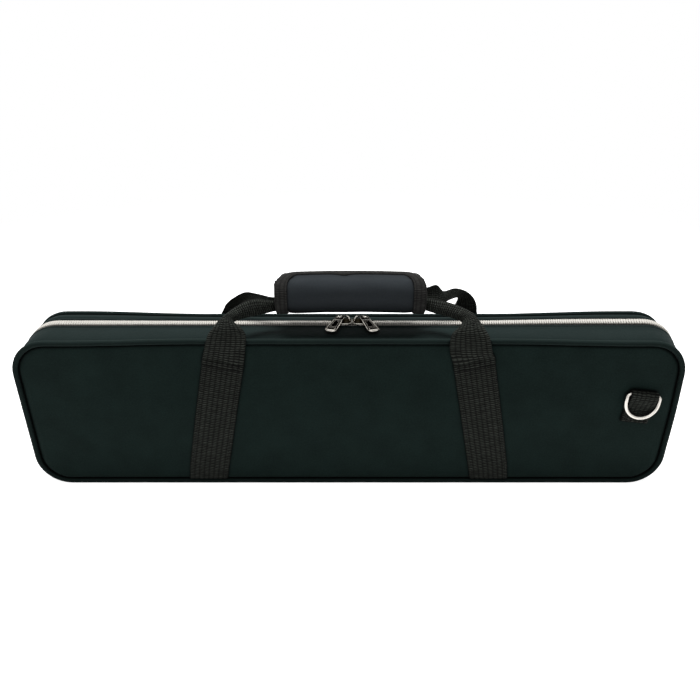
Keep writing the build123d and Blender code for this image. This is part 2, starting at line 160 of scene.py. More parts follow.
def settled(point):
    """Where a point of the soft shell comes to rest once the zip holds its top edges together.

    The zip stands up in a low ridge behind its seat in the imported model, and the ends swell
    a little, the right one more than the left.
    """
    x, y, z = point
    share = smooth((PINCH_NONE_X - abs(x)) / (PINCH_NONE_X - PINCH_FULL_X))
    share *= smooth((z - PINCH_LOW_Z) / (CASE_HEIGHT - PINCH_LOW_Z))
    across = (y - ZIP_Y) / HALF_DEPTH
    swell = (RIGHT_SWELL if x > 0 else LEFT_SWELL) * smooth((abs(x) - SWELL_FROM_X) / SWELL_RUN)
    spread = SWELL_SPREAD_REAR if across > 0 else SWELL_SPREAD_FRONT
    swell *= math.exp(-((across / spread) ** 2)) * smooth((z - SWELL_FOOT_Z) / SWELL_FOOT_RUN)
    if x > 0:
        low = smooth((LOW_SWELL_TOP_Z - z) / LOW_SWELL_RUN)
        swell += LOW_SWELL * smooth((x - SWELL_FROM_X) / SWELL_RUN) * low
    ridge = math.exp(-(((y - ZIP_Y) / RIDGE_SPREAD) ** 2)) * smooth((z - RIDGE_FOOT_Z) / RIDGE_FOOT_RUN)
    right = smooth((x - RIDGE_RIGHT_X) / RIDGE_RIGHT_RUN)
    back = (RIDGE_BACK + RIDGE_BACK_RIGHT * right) * ridge
    rise = (RIDGE_RISE + RIDGE_RISE_RIGHT * right) * ridge
    x += math.copysign(swell, x)
    y += back - PINCH * share * across
    return Vector((x, y, z + rise - REAR_SAG * share * max(0.0, across)))


class Shape:
    """Points, faces and texture places gathered for one mesh."""

    def __init__(self):
        self.points = []
        self.faces = []
        self.places = []

    def add_point(self, point):
        self.points.append(Vector(point))
        return len(self.points) - 1

    def add_face(self, corners, places=None):
        self.faces.append(tuple(corners))
        self.places.append(places or [(0.0, 0.0)] * len(corners))

    def add_grid(self, rows, close_rows=False, close_columns=False, cap=False, across=None):
        """Joins rows of points with quads; the texture places are distances along each way."""
        index = [[self.add_point(point) for point in row] for row in rows]
        across = across or lengths_along(rows[len(rows) // 2], close_columns)
        along = lengths_along([row[0] for row in rows], close_rows)
        row_count, column_count = len(rows), len(rows[0])
        for i in range(row_count if close_rows else row_count - 1):
            for j in range(column_count if close_columns else column_count - 1):
                ni, nj = (i + 1) % row_count, (j + 1) % column_count
                self.add_face(
                    (index[i][j], index[i][nj], index[ni][nj], index[ni][j]),
                    [
                        (across[j], along[i]),
                        (across[j + 1], along[i]),
                        (across[j + 1], along[i + 1]),
                        (across[j], along[i + 1]),
                    ],
                )
        if cap:
            for row in (index[0], index[-1]):
                self.add_face(row, [(across[j], 0.0) for j in range(column_count)])
        return index

    def add_shape(self, other, transform=None):
        """Takes in another shape, moved by a matrix or a function."""
        first = len(self.points)
        for point in other.points:
            self.points.append(transform @ point if isinstance(transform, Matrix) else Vector(point))
        for face, places in zip(other.faces, other.places):
            self.add_face([first + corner for corner in face], places)


def loft(rows, close_rows=False, **settings):
    """A tube or ring through rows that each close on themselves, with flat ends if it is open."""
    shape = Shape()
    shape.add_grid(rows, close_rows=close_rows, close_columns=True, cap=not close_rows, **settings)
    return shape


def join_rims(shape, front, back):
    """Closes the gap between the edges of two grids of the same size."""
    rims = []
    for grid in (front, back):
        rim = list(grid[0]) + [row[-1] for row in grid[1:]]
        rims.append(rim + list(grid[-1])[-2::-1] + [row[0] for row in grid[-2:0:-1]])
    first, second = rims
    for index in range(len(first)):
        following = (index + 1) % len(first)
        shape.add_face((first[index], first[following], second[following], second[index]))


def lengths_along(points, closed):
    """Distances from the first point, with one more value than points if they close."""
    lengths = [0.0]
    points = [Vector(point) for point in points]
    for here, there in zip(points, points[1:] + points[:1]):
        lengths.append(lengths[-1] + (there - here).length)
    return lengths if closed else lengths[:-1]


def make_piece(name, shape, material, body, replaces=(), settle=False, flat=False):
    """Makes the mesh object, puts it on its body and hides the nodes it stands for."""
    points = [settled(point) for point in shape.points] if settle else shape.points
    mesh = bpy.data.meshes.new(name)
    mesh.from_pydata([tuple(point * MM) for point in points], [], shape.faces)
    layer = mesh.uv_layers.new(name="UVMap")
    for polygon, places in zip(mesh.polygons, shape.places):
        for loop, place in zip(polygon.loop_indices, places):
            layer.data[loop].uv = place
        polygon.use_smooth = not flat
    work = bmesh.new()
    work.from_mesh(mesh)
    bmesh.ops.recalc_face_normals(work, faces=work.faces)
    work.to_mesh(mesh)
    work.free()
    piece = bpy.data.objects.new(name, mesh)
    bpy.context.scene.collection.objects.link(piece)
    mesh.materials.append(material)
    if not flat:
        mesh.set_sharp_from_angle(angle=math.radians(50))
    if body:
        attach(piece, body)
    if replaces:
        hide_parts(*replaces)
    return piece


def make_side_piece(side, ending, shape, material, node=None, settle=True):
    """Makes a piece of one half; its name, and its node's, start with the side's name."""
    name = SIDE_NAMES[side]
    nodes = [f"{name}_{node}"] if node else ()
    return make_piece(f"{name}_{ending}", shape, material, SIDE_BODIES[side], nodes, settle)


# The case's outer line


def outline_run(start_x=None):
    """Points, outward normals and distances round the case seen from the front.

    With no start the line closes on itself; otherwise it runs from the bottom at minus
    start_x up the left end, over the top and down to the bottom at start_x.
    """
    half = CASE_LENGTH / 2
    low_x, high_x = half - BOTTOM_RADIUS, half - TOP_RADIUS
    low_z, high_z = BOTTOM_RADIUS, CASE_HEIGHT - TOP_RADIUS
    stations = []

    def straight(begin, end, normal, count):
        for step in range(count):
            share = step / count
            x = begin[0] + (end[0] - begin[0]) * share
            z = begin[1] + (end[1] - begin[1]) * share
            stations.append((x, z, normal[0], normal[1]))

    def arc(centre, radius, first, count=12):
        for step in range(count):
            angle = math.radians(first - 90 * step / count)
            normal = (math.cos(angle), math.sin(angle))
            stations.append((centre[0] + radius * normal[0], centre[1] + radius * normal[1], *normal))

    bottom_x = start_x or 0.0
    bottom_count = 2 if start_x else 34
    straight((-bottom_x, 0), (-low_x, 0), (0, -1), bottom_count)
    arc((-low_x, low_z), BOTTOM_RADIUS, 270)
    straight((-half, low_z), (-half, high_z), (-1, 0), 14)
    arc((-high_x, high_z), TOP_RADIUS, 180)
    straight((-high_x, CASE_HEIGHT), (high_x, CASE_HEIGHT), (0, 1), 84)
    arc((high_x, high_z), TOP_RADIUS, 90)
    straight((half, high_z), (half, low_z), (1, 0), 14)
    arc((low_x, low_z), BOTTOM_RADIUS, 0)
    straight((low_x, 0), (bottom_x, 0), (0, -1), bottom_count)
    if start_x:
        stations.append((bottom_x, 0, 0, -1))
    distance = 0.0
    run = []
    for index, (x, z, nx, nz) in enumerate(stations):
        if index:
            distance += math.dist((x, z), stations[index - 1][:2])
        run.append((x, z, nx, nz, distance))
    return run


def drawn_in(station, inset, y):
    """A place on the outline at one of its stations, drawn in by an inset."""
    x, z, nx, nz = station[:4]
    return Vector((x - nx * inset, y, z - nz * inset))


def band(profile, ripple=None):
    """A closed strip round the case: the profile is a loop of insets and places along Y."""
    rows = []
    for station in outline_run():
        row = []
        for index, (inset, y) in enumerate(profile):
            if ripple:
                inset += ripple(index, station[4])
            point = drawn_in(station, inset, y)
            point.z = max(0.0, point.z)
            row.append(point)
        rows.append(row)
    return loft(rows, close_rows=True)


def face_row(inset, y, uneven=None):
    """A line round a face, drawn in by an inset; a very deep one falls on the middle line."""
    row = []
    for station in outline_run():
        if inset > BOTTOM_RADIUS:
            row.append(Vector((station[0] * MIDDLE_LINE_SHARE, y, CASE_HEIGHT / 2)))
        else:
            row.append(drawn_in(station, inset + (uneven(station[4], inset) if uneven else 0.0), y))
    return row


def wobble(distance, pitch, seed):
    """Smooth unevenness along a line, from -1 to 1."""
    return noise.noise(Vector((distance / pitch, seed, 0.37)))


def outline_depth(x, z, inset):
    """How far a place in the front view lies inside the outline drawn in by an inset."""
    radius = BOTTOM_RADIUS if z < CASE_HEIGHT / 2 else TOP_RADIUS
    half_x = CASE_LENGTH / 2 - radius
    centre_z = radius if z < CASE_HEIGHT / 2 else CASE_HEIGHT - radius
    dx = abs(x) - half_x
    dz = (centre_z - z) if z < CASE_HEIGHT / 2 else (z - centre_z)
    if dx > 0 and dz > 0:
        return radius - math.hypot(dx, dz) - inset
    return radius - max(dx, dz) - inset


def row_half_length(z, inset):
    """Half the length of a level line inside the outline drawn in by an inset."""
    radius = BOTTOM_RADIUS if z < CASE_HEIGHT / 2 else TOP_RADIUS
    rise = (radius - z) if z < CASE_HEIGHT / 2 else (z - (CASE_HEIGHT - radius))
    half = CASE_LENGTH / 2 - radius
    if rise <= 0:
        return half + radius - inset
    return half + math.sqrt(max(0.0, (radius - inset) ** 2 - rise**2))


def level_rows(inset):
    """Heights of the rows of a face panel, closer together near its edges."""
    low, high = inset, CASE_HEIGHT - inset
    heights = []
    steps = 40
    for step in range(steps + 1):
        share = step / steps
        eased = 0.5 - 0.5 * math.cos(math.pi * share)
        share = 0.45 * share + 0.55 * eased
        heights.append(low + (high - low) * share)
    return heights


# Materials


class Graph:
    """A node tree, with short ways to add nodes and to join them."""

    def __init__(self, tree):
        self.tree = tree

    def put(self, socket, value):
        """Sets a socket to a number or a colour, or links another node's output to it."""
        if isinstance(value, bpy.types.NodeSocket):
            self.tree.links.new(value, socket)
        else:
            socket.default_value = value

    def node(self, kind, **settings):
        """Adds a node; a setting names a property or, with _ for each space, a socket."""
        node = self.tree.nodes.new("ShaderNode" + kind)
        for name, value in settings.items():
            label = name.replace("_", " ")
            if label in node.inputs:
                self.put(node.inputs[label], value)
            else:
                setattr(node, name, value)
        return node

    def maths(self, operation, *values):
        node = self.node("Math", operation=operation)
        for socket, value in zip(node.inputs, values):
            self.put(socket, value)
        return node.outputs[0]

    def add(self, first, second):
        return self.maths("ADD", first, second)

    def times(self, first, second):
        return self.maths("MULTIPLY", first, second)

    def noise(self, place, **settings):
        return self.node("TexNoise", Vector=place, **settings).outputs["Fac"]

    def seen(self):
        """1 on the rays by which the camera sees something, straight or mirrored, else 0."""
        rays = self.node("LightPath")
        return self.maths("MAXIMUM", rays.outputs["Is Camera Ray"], rays.outputs["Is Glossy Ray"])


class Surface(Graph):
    """A new material and its shader."""

    def __init__(self, name):
        self.material = bpy.data.materials.new(name)
        self.material.use_nodes = True
        super().__init__(self.material.node_tree)
        self.shader = self.tree.nodes["Principled BSDF"]

    def set(self, **settings):
        for name, value in settings.items():
            self.put(self.shader.inputs[name.replace("_", " ")], value)

    def bump(self, height, strength, distance, **settings):
        bump = self.node("Bump", Strength=strength, Distance=distance, Height=height, **settings)
        self.set(Normal=bump.outputs["Normal"])

    def uv_axes(self):
        """The mesh's own coordinates in millimetres: the pair, then across and along."""
        uv = self.node("UVMap", uv_map="UVMap").outputs["UV"]
        split = self.node("SeparateXYZ", Vector=uv)
        return uv, split.outputs["X"], split.outputs["Y"]

    def object_place(self, output="Object"):
        return self.node("TexCoord").outputs[output]

    def stripes(self, coordinate, pitch):
        """A soft ridge that repeats every pitch along one coordinate."""
        wave = self.maths("SINE", self.times(coordinate, 2 * math.pi / pitch))
        return self.maths("MULTIPLY_ADD", wave, 0.5, 0.5)

    def between(self, factor, low, high):
        """A colour between two, by a factor."""
        mix = self.node("Mix", data_type="RGBA", Factor=factor, A=(*low, 1), B=(*high, 1))
        return mix.outputs["Result"]

    def with_painted_shade(self, colour, reach, power):
        """Paints shade into a colour: darkens it in creases and close to neighbouring pieces, by how open
        each place is.
        """
        openness = self.node("AmbientOcclusion", samples=8, Distance=reach * MM).outputs["AO"]
        scale = self.node("VectorMath", operation="SCALE", Scale=self.maths("POWER", openness, power))
        self.put(scale.inputs[0], colour)
        return scale.outputs[0]


def scaled(colour, factor):
    """A colour with each channel times a factor, at most 1."""
    return [min(1.0, channel * factor) for channel in colour]


CLOTH_SHEEN_TINT = (0.75, 0.85, 0.85, 1)
NICKEL_EDGE_TINT = (0.45, 0.44, 0.42, 1)


def woven_cloth(
    name, colour, pitch, depth, roughness=0.7, sheen=0.015, mottle=0.35, wrinkle=0.0,
    shade_reach=2.2, shade=2.2,
):
    """Plain-weave cloth: two crossing threads, a little mottling, a soft sheen, and painted shade that
    darkens its creases and the places close to other pieces.
    """
    cloth = Surface(name)
    uv, across, along = cloth.uv_axes()
    threads = cloth.times(cloth.stripes(across, pitch), cloth.stripes(along, pitch))
    over = cloth.stripes(cloth.add(across, along), pitch * 2)
    weave = cloth.add(threads, cloth.times(over, 0.35))
    fine = cloth.noise(uv, Scale=0.9, Detail=6.0, Roughness=0.65)
    broad = cloth.noise(uv, Scale=0.05, Detail=3.0, Roughness=0.5)
    tone = cloth.add(cloth.times(fine, 0.6), cloth.times(broad, 0.4))
    tone = cloth.between(tone, scaled(colour, 1 - mottle), scaled(colour, 1 + mottle))
    height = cloth.add(cloth.times(weave, depth), cloth.times(fine, depth * 0.8))
    if wrinkle:
        creases = cloth.noise(uv, Scale=0.28, Detail=2.0, Distortion=0.6)
        height = cloth.add(height, cloth.times(creases, wrinkle))
    cloth.bump(height, 0.7, MM)
    # Painted shade: the base colour darkens in creases and near other pieces.
    cloth.set(
        Base_Color=cloth.with_painted_shade(tone, shade_reach, shade), Roughness=roughness, Specular_IOR_Level=0.04,
        Sheen_Weight=sheen, Sheen_Roughness=0.45, Sheen_Tint=CLOTH_SHEEN_TINT,
    )
    return cloth.material


def webbing_cloth(name, colour, rib_pitch, weft_pitch=1.35, depth=0.4, dark=0.08):
    """Ribbed webbing: uneven rows of weft from edge to edge, and dark grooves between the ribs, partly the
    weave's pattern and partly painted shade; painted shade also darkens its creases.
    """
    cloth = Surface(name)
    uv, across, along = cloth.uv_axes()
    ribs = cloth.maths("DIVIDE", across, rib_pitch)
    ridge = cloth.maths("ABSOLUTE", cloth.maths("SINE", cloth.times(ribs, math.pi)))
    ridge = cloth.maths("POWER", ridge, 0.45)
    every_other = cloth.maths("MODULO", cloth.maths("FLOOR", ribs), 2.0)
    sway = cloth.noise(uv, Scale=0.35, Detail=3.0)
    shifted = cloth.add(along, cloth.times(every_other, weft_pitch * 0.08))
    shifted = cloth.add(shifted, cloth.times(sway, weft_pitch * 1.2))
    rows = cloth.maths("POWER", cloth.stripes(shifted, weft_pitch), 1.2)
    wear = cloth.node("MapRange", From_Min=0.3, From_Max=0.7, To_Min=0.55, To_Max=1.15, Value=sway)
    fuzz = cloth.noise(uv, Scale=1.6, Detail=5.0, Roughness=0.7)
    # The grooves between ribs and weft rows take the dark end of the colour: the weave's own pattern
    # together with painted shade.
    weave = cloth.times(ridge, rows)
    tone = cloth.times(cloth.times(weave, cloth.add(fuzz, 0.5)), wear.outputs["Result"])
    tone = cloth.between(tone, scaled(colour, dark), scaled(colour, 2.8))
    cloth.bump(cloth.add(weave, cloth.times(fuzz, 0.4)), 0.9, depth * MM)
    cloth.set(Base_Color=cloth.with_painted_shade(tone, 3.0, 1.4), Roughness=0.8, Specular_IOR_Level=0.08)
    return cloth.material


def speckled(
    name, colour, scale, depth, roughness, mottle=0.3, metallic=0.0, sheen=0.0, specular=0.1, shade=0.0
):
    """A surface whose grain comes from noise: foam, brushed lining, moulded plastic or metal; a shade above
    0 paints shade into its creases.
    """
    surface = Surface(name)
    grain = surface.noise(surface.object_place(), Scale=scale, Detail=5.0, Roughness=0.6)
    tone = surface.between(grain, scaled(colour, 1 - mottle), scaled(colour, 1 + mottle))
    surface.bump(grain, 0.6, depth * MM)
    surface.set(
        Base_Color=surface.with_painted_shade(tone, 2.5, shade) if shade else tone,
        Roughness=surface.maths("MULTIPLY_ADD", grain, 0.2, roughness - 0.1),
        Metallic=metallic, Specular_IOR_Level=specular, Sheen_Weight=sheen,
    )
    return surface.material


def studio_metal(name, colour, dark):
    """Polished nickel with painted reflection: faces that look up take a darker colour, painted in for the
    dark ceiling they would mirror, so its edges read bright; painted shade darkens its creases.
    """
    metal = Surface(name)
    grain = metal.noise(metal.object_place(), Scale=420.0, Detail=4.0, Roughness=0.6)
    # Painted reflection: the colour darkens where the face looks up.
    split = metal.node("SeparateXYZ", Vector=metal.object_place("Normal"))
    level = metal.node(
        "MapRange", interpolation_type="SMOOTHSTEP", From_Min=0.8, From_Max=0.96, Value=split.outputs["Z"]
    )
    tone = metal.between(level.outputs["Result"], colour, scaled(colour, dark))
    metal.bump(grain, 0.4, 0.02 * MM)
    metal.set(
        Base_Color=metal.with_painted_shade(tone, 2.0, 1.8),
        Roughness=metal.maths("MULTIPLY_ADD", grain, 0.15, 0.1),
        Metallic=1.0, Specular_Tint=NICKEL_EDGE_TINT,
    )
    return metal.material


def open_foam(name, colour):
    """Charcoal foam with an open grain of small pores."""
    foam = Surface(name)
    pores = foam.node("TexVoronoi", Scale=900.0, Randomness=1.0, Vector=foam.object_place())
    cloud = foam.noise(foam.object_place(), Scale=60.0, Detail=4.0)
    tone = foam.add(foam.times(pores.outputs["Distance"], 0.8), foam.times(cloud, 0.5))
    foam.bump(pores.outputs["Distance"], 0.5, 0.5 * MM, invert=True)
    foam.set(
        Base_Color=foam.between(tone, scaled(colour, 1.4), scaled(colour, 0.4)),
        Roughness=0.9, Specular_IOR_Level=0.1,
    )
    return foam.material


shell_cloth = woven_cloth("shell_nylon", (0.0098, 0.0192, 0.0172), 0.55, 0.05, mottle=0.9)
# The gusset nylon is a darker copy of the shell nylon: painted shade that evens out the strong light on the
# top faces against the dimmer light on the panels.
gusset_cloth = woven_cloth("gusset_nylon", (0.0090, 0.0158, 0.0150), 0.55, 0.06, wrinkle=0.25)
cord_cloth = woven_cloth("cord_nylon", (0.0110, 0.0190, 0.0175), 0.55, 0.06, wrinkle=0.3)
tape_cloth = woven_cloth("tape_cloth", (0.0030, 0.0035, 0.0035), 0.7, 0.08)
# The grip's long shade reach paints shade on its lower half, which faces the case's top.
grip_cloth = woven_cloth(
    "grip_nylon", (0.0300, 0.0350, 0.0395), 0.5, 0.04,
    mottle=0.3, sheen=0.02, shade_reach=26.0, shade=3.4,
)
binding_cloth = webbing_cloth(
    "binding_tape", (0.0175, 0.0172, 0.0165), 1.7, weft_pitch=0.8, depth=0.1, dark=0.5
)
strap_cloth = webbing_cloth("strap_webbing", (0.0212, 0.0238, 0.0204), 1.0)
thread_cloth = speckled("sewing_thread", (0.009, 0.014, 0.014), 900.0, 0.05, 0.7)
strap_thread = speckled("strap_thread", (0.0025, 0.0025, 0.0025), 900.0, 0.05, 0.7)
# Painted shade darkens the chain in its hollows between the teeth and beside the lips.
chain_plastic = speckled(
    "chain_plastic", (0.62, 0.595, 0.545), 500.0, 0.04, 0.4, mottle=0.08, shade=0.8
)
# Painted shade darkens the ring's wire in its crevices and near the tab.
nickel = speckled(
    "polished_nickel", (0.62, 0.59, 0.545), 260.0, 0.015, 0.2, mottle=0.06, metallic=1.0, shade=2.6
)
# Sliders and pull frames: painted reflection on their upward faces and painted shade in their creases.
slider_nickel = studio_metal("slider_nickel", (0.82, 0.78, 0.71), 0.035)
enamel = speckled("black_enamel", (0.004, 0.004, 0.004), 300.0, 0.02, 0.6, mottle=0.2, specular=0.0)
lining_cloth = speckled("lining_cloth", (0.022, 0.022, 0.025), 700.0, 0.25, 0.9, sheen=0.05)
stiff_foam = speckled("stiff_foam", (0.16, 0.16, 0.17), 500.0, 0.2, 0.9)
insert_foam = open_foam("insert_foam", (0.040, 0.040, 0.044))
hook_cloth = speckled("hook_and_loop", (0.010, 0.010, 0.010), 1400.0, 0.5, 0.95, mottle=0.5)


# Shell

PANEL_COLUMNS = 120
TUCK_RUN = 0.35
SEAM_RUN = 1.5
CROWN_RUN = 46.0
UNEVEN_RISE, UNEVEN_RUN = 0.16, 10.0
UNEVEN_LENGTH, UNEVEN_HEIGHT = 55.0, 38.0
PUCKER_RISE, PUCKER_FADE, PUCKER_COUNT = 0.13, 5.0, 26.0
PUCKER_REACH, PUCKER_RUN = 42.0, 30.0
PUCKER_START_RUN = 1.2
PUCKER_CENTRE_INSET = 60.0


def side_y(side, depth):
    """The place along Y of a depth measured in from one outer face."""
    return side * (HALF_DEPTH - depth)


def panel_surface(side, x, z):
    """The place along Y of a face panel's outer cloth."""
    inside = max(0.0, outline_depth(x, z, SEAM_INSET))
    rise = PANEL_TUCK * (1 - math.exp(-inside / TUCK_RUN))
    rise += (PANEL_SEAM_DEPTH - PANEL_FACE_DEPTH - PANEL_TUCK) * (1 - math.exp(-inside / SEAM_RUN))
    rise += PANEL_CROWN * smooth(inside / CROWN_RUN)
    calm = smooth(inside / UNEVEN_RUN)
    rise += UNEVEN_RISE * calm * noise.noise(
        Vector((x / UNEVEN_LENGTH, z / UNEVEN_HEIGHT, side * 3.1))
    )
    end = smooth((abs(x) - CASE_LENGTH / 2 + PUCKER_REACH) / PUCKER_RUN)
    from_end = abs(x) - CASE_LENGTH / 2 + PUCKER_CENTRE_INSET
    pucker = math.sin(math.atan2(z - CASE_HEIGHT / 2, from_end) * PUCKER_COUNT)
    rise += PUCKER_RISE * end * pucker * math.exp(-inside / PUCKER_FADE) * smooth(
        inside / PUCKER_START_RUN
    )
    return side * (HALF_DEPTH - PANEL_SEAM_DEPTH + rise)


def make_panel(side):
    """One padded face panel: its crowned cloth outside, a flat back, and the edge between."""
    outer, inner = [], []
    for z in level_rows(SEAM_INSET):
        half = row_half_length(z, SEAM_INSET)
        outer.append([])
        inner.append([])
        for step in range(PANEL_COLUMNS + 1):
            share = 2 * step / PANEL_COLUMNS - 1
            share = 0.8 * share + 0.2 * math.sin(share * math.pi / 2)
            x = half * share
            outer[-1].append(Vector((x, panel_surface(side, x, z), z)))
            inner[-1].append(Vector((x, side_y(side, PANEL_BACK_DEPTH), z)))
    shape = Shape()
    front = shape.add_grid(outer)
    back = shape.add_grid(inner)
    join_rims(shape, front, back)
    for index, face in enumerate(shape.faces):
        shape.places[index] = [(shape.points[corner].x, shape.points[corner].z) for corner in face]
    piece = make_side_piece(side, "panel_cloth", shape, shell_cloth, "panel")


# Unevenness along the pieces that run round the edge: how high it is and how long
CORD_GATHER, CORD_WAVE = (0.07, 2.6), (0.08, 16.0)
GUSSET_RIPPLE, GUSSET_CRINKLE = (0.22, 34.0), (0.05, 7.0)
LINING_RIPPLE = (0.12, 22.0)


def make_piping(side):
    """The piping round one face: a covered cord, a little gathered along its seam."""
    sides = 14
    profile = []
    for index in range(sides):
        angle = 2 * math.pi * index / sides
        inset = CORD_RADIUS - CORD_RADIUS * math.cos(angle)
        profile.append((inset, side_y(side, CORD_RADIUS) + side * CORD_RADIUS * math.sin(angle)))

    def ripple(_, distance):
        gather = CORD_GATHER[0] * wobble(distance, CORD_GATHER[1], 4.0 + side)
        return max(0.0, gather + CORD_WAVE[0] * wobble(distance, CORD_WAVE[1], 9.0 + side))

    make_side_piece(side, "piping_cord", band(profile, ripple), cord_cloth, "piping")


def lip_end(side):
    """The place along Y of the lip's folded edge beside the zip."""
    return ZIP_Y + side * ZIP_OPENING / 2


# The gusset's section: shares of its width, or distances back from the zip, and rises inward
GUSSET_CROWN = ((0.06, 0.75), (0.15, 0.15), (0.3, -0.25), (0.5, -0.35), (0.68, -0.2))
GUSSET_FOLD = (
    (3.4, 0.12), (2.4, 0.05), (1.9, 0.32), (1.5, 0.3), (1.1, -0.02), (0.5, -0.05), (0.12, 0.2)
)


def make_gusset(side):
    """The strip round the edge, a little crowned, with its stitched fold beside the zip."""
    start = side_y(side, 2 * CORD_RADIUS - 0.1)
    end = lip_end(side)
    width = abs(end - start)
    toward = -side
    profile = [(2.1, start)]
    profile += [(GUSSET_INSET + rise, start + toward * width * share) for share, rise in GUSSET_CROWN]
    profile += [(GUSSET_INSET + rise, end - toward * back) for back, rise in GUSSET_FOLD]
    outer_count = len(profile)
    profile += [
        (LIP_INNER_INSET - 0.5, end),
        (LIP_INNER_INSET, end - toward * 0.2),
        (LIP_INNER_INSET, end - toward * (LIP_WIDTH - 0.2)),
        (GUSSET_INNER_INSET, end - toward * LIP_WIDTH),
        (GUSSET_INNER_INSET, start),
    ]

    def ripple(index, distance):
        if index == 0 or index >= outer_count:
            return 0.0
        broad = GUSSET_RIPPLE[0] * wobble(distance, GUSSET_RIPPLE[1], index * 0.35 + side)
        return broad + GUSSET_CRINKLE[0] * wobble(distance, GUSSET_CRINKLE[1], index)

    shape = band(profile, ripple)
    piece = make_side_piece(side, "gusset_cloth", shape, gusset_cloth, "gusset")


def make_foam(side):
    """The stiff foam behind the cloth: a board in the face and a band round the edge."""
    near, far = side_y(side, PANEL_BACK_DEPTH + 0.1), side_y(side, BOARD_DEPTH)
    shape = Shape()
    corners = ((MIDDLE_INSET, near), (PADDING_INSET, near), (PADDING_INSET, far), (MIDDLE_INSET, far))
    shape.add_grid([face_row(inset, y) for inset, y in corners], close_columns=True)
    board = make_side_piece(side, "board", shape, stiff_foam, "foam_board")
    end = lip_end(side) + side * 0.8
    profile = [
        (PADDING_INSET, far), (PADDING_INSET, end), (PADDING_INNER_INSET, end), (PADDING_INNER_INSET, far)
    ]
    padding = make_side_piece(side, "padding", band(profile), stiff_foam, "wall_padding")


def make_lining(side):
    """The cloth lining: a shallow tray with a rounded foot and a rim folded over the foam."""
    floor_y = side_y(side, LINING_DEPTH)
    back_y = side_y(side, BOARD_DEPTH)
    rim_y = lip_end(side) + side * 0.1
    profile = [
        (TAPE_INNER_INSET + 0.1, rim_y + side * 0.8),
        (TAPE_INNER_INSET + 0.15, rim_y + side * 0.1),
        (TAPE_INNER_INSET + 1.0, rim_y),
        (LINING_INNER_INSET - 0.8, rim_y),
        (LINING_INNER_INSET - 0.1, rim_y + side * 0.4),
        (LINING_INNER_INSET, rim_y + side * 1.2),
        (LINING_INNER_INSET, floor_y - side * 1.5),
        (LINING_INNER_INSET + 0.5, floor_y - side * 0.5),
        (LINING_INNER_INSET + 1.6, floor_y),
        (14.0, floor_y),
        (20.0, floor_y),
        (MIDDLE_INSET, floor_y),
        (MIDDLE_INSET, back_y),
        (LINING_INSET, back_y),
        (LINING_INSET, rim_y + side * 0.8),
    ]

    def uneven(distance, inset):
        return LINING_RIPPLE[0] * wobble(distance, LINING_RIPPLE[1], inset) if 3.5 < inset < 20 else 0.0

    shape = Shape()
    rows = [face_row(inset, y, uneven) for inset, y in profile]
    shape.add_grid(rows, close_rows=True, close_columns=True)
    make_side_piece(side, "lining_cloth", shape, lining_cloth, "lining")


# Zip


def set_back(x, z):
    """How far the rows stand apart where the sliders part them."""
    if z < CASE_HEIGHT / 2:
        return 0.0
    run = (abs(x - SLIDER_MEET_X) - PARTING_HALF_LENGTH) / PARTING_RUN
    return PARTING * min(1.0, max(0.0, 1.0 - run))


def make_zip_tape(side):
    """The woven tape of one row, under the lip and up to the middle of the chain."""
    lip = lip_end(side)
    hidden = lip + side * 4.6
    rows = []
    for station in outline_run(ZIP_END_X + 2.0):
        edge = ZIP_Y + side * (0.25 + set_back(station[0], station[1]))
        row = [drawn_in(station, TAPE_INSET, y) for y in (hidden, lip, (lip + edge) / 2, edge)]
        rows.append(row + [drawn_in(station, TAPE_INNER_INSET, y) for y in (edge, hidden)])
    make_side_piece(side, "tape_cloth", loft(rows), tape_cloth, "zip_tape")


def place_on_run(run, distance):
    """The point, normal and tangent at a distance along the case's outer line."""
    low, high = 0, len(run) - 1
    while high - low > 1:
        middle = (low + high) // 2
        if run[middle][4] <= distance:
            low = middle
        else:
            high = middle
    share = (distance - run[low][4]) / (run[high][4] - run[low][4])
    values = [a + (b - a) * share for a, b in zip(run[low], run[high])]
    normal = Vector((values[2], 0, values[3])).normalized()
    return Vector((values[0], 0, values[1])), normal, Vector((normal.z, 0, -normal.x))


CHAIN_PITCH = 1.5
CHAIN_HALF_WIDTH = 3.05
CHAIN_TOP_INSET = 0.9
CHAIN_SINK = 0.4
CHAIN_SINK_REACH, CHAIN_SINK_RUN = 16.0, 4.0
TOOTH_HEAD_REACH = 0.7
# Each tooth's sections: places along the chain in pitches, and how much they are drawn in
TOOTH_SECTIONS = ((-0.42, 0.2), (-0.27, 0.0), (0.27, 0.0), (0.42, 0.2))


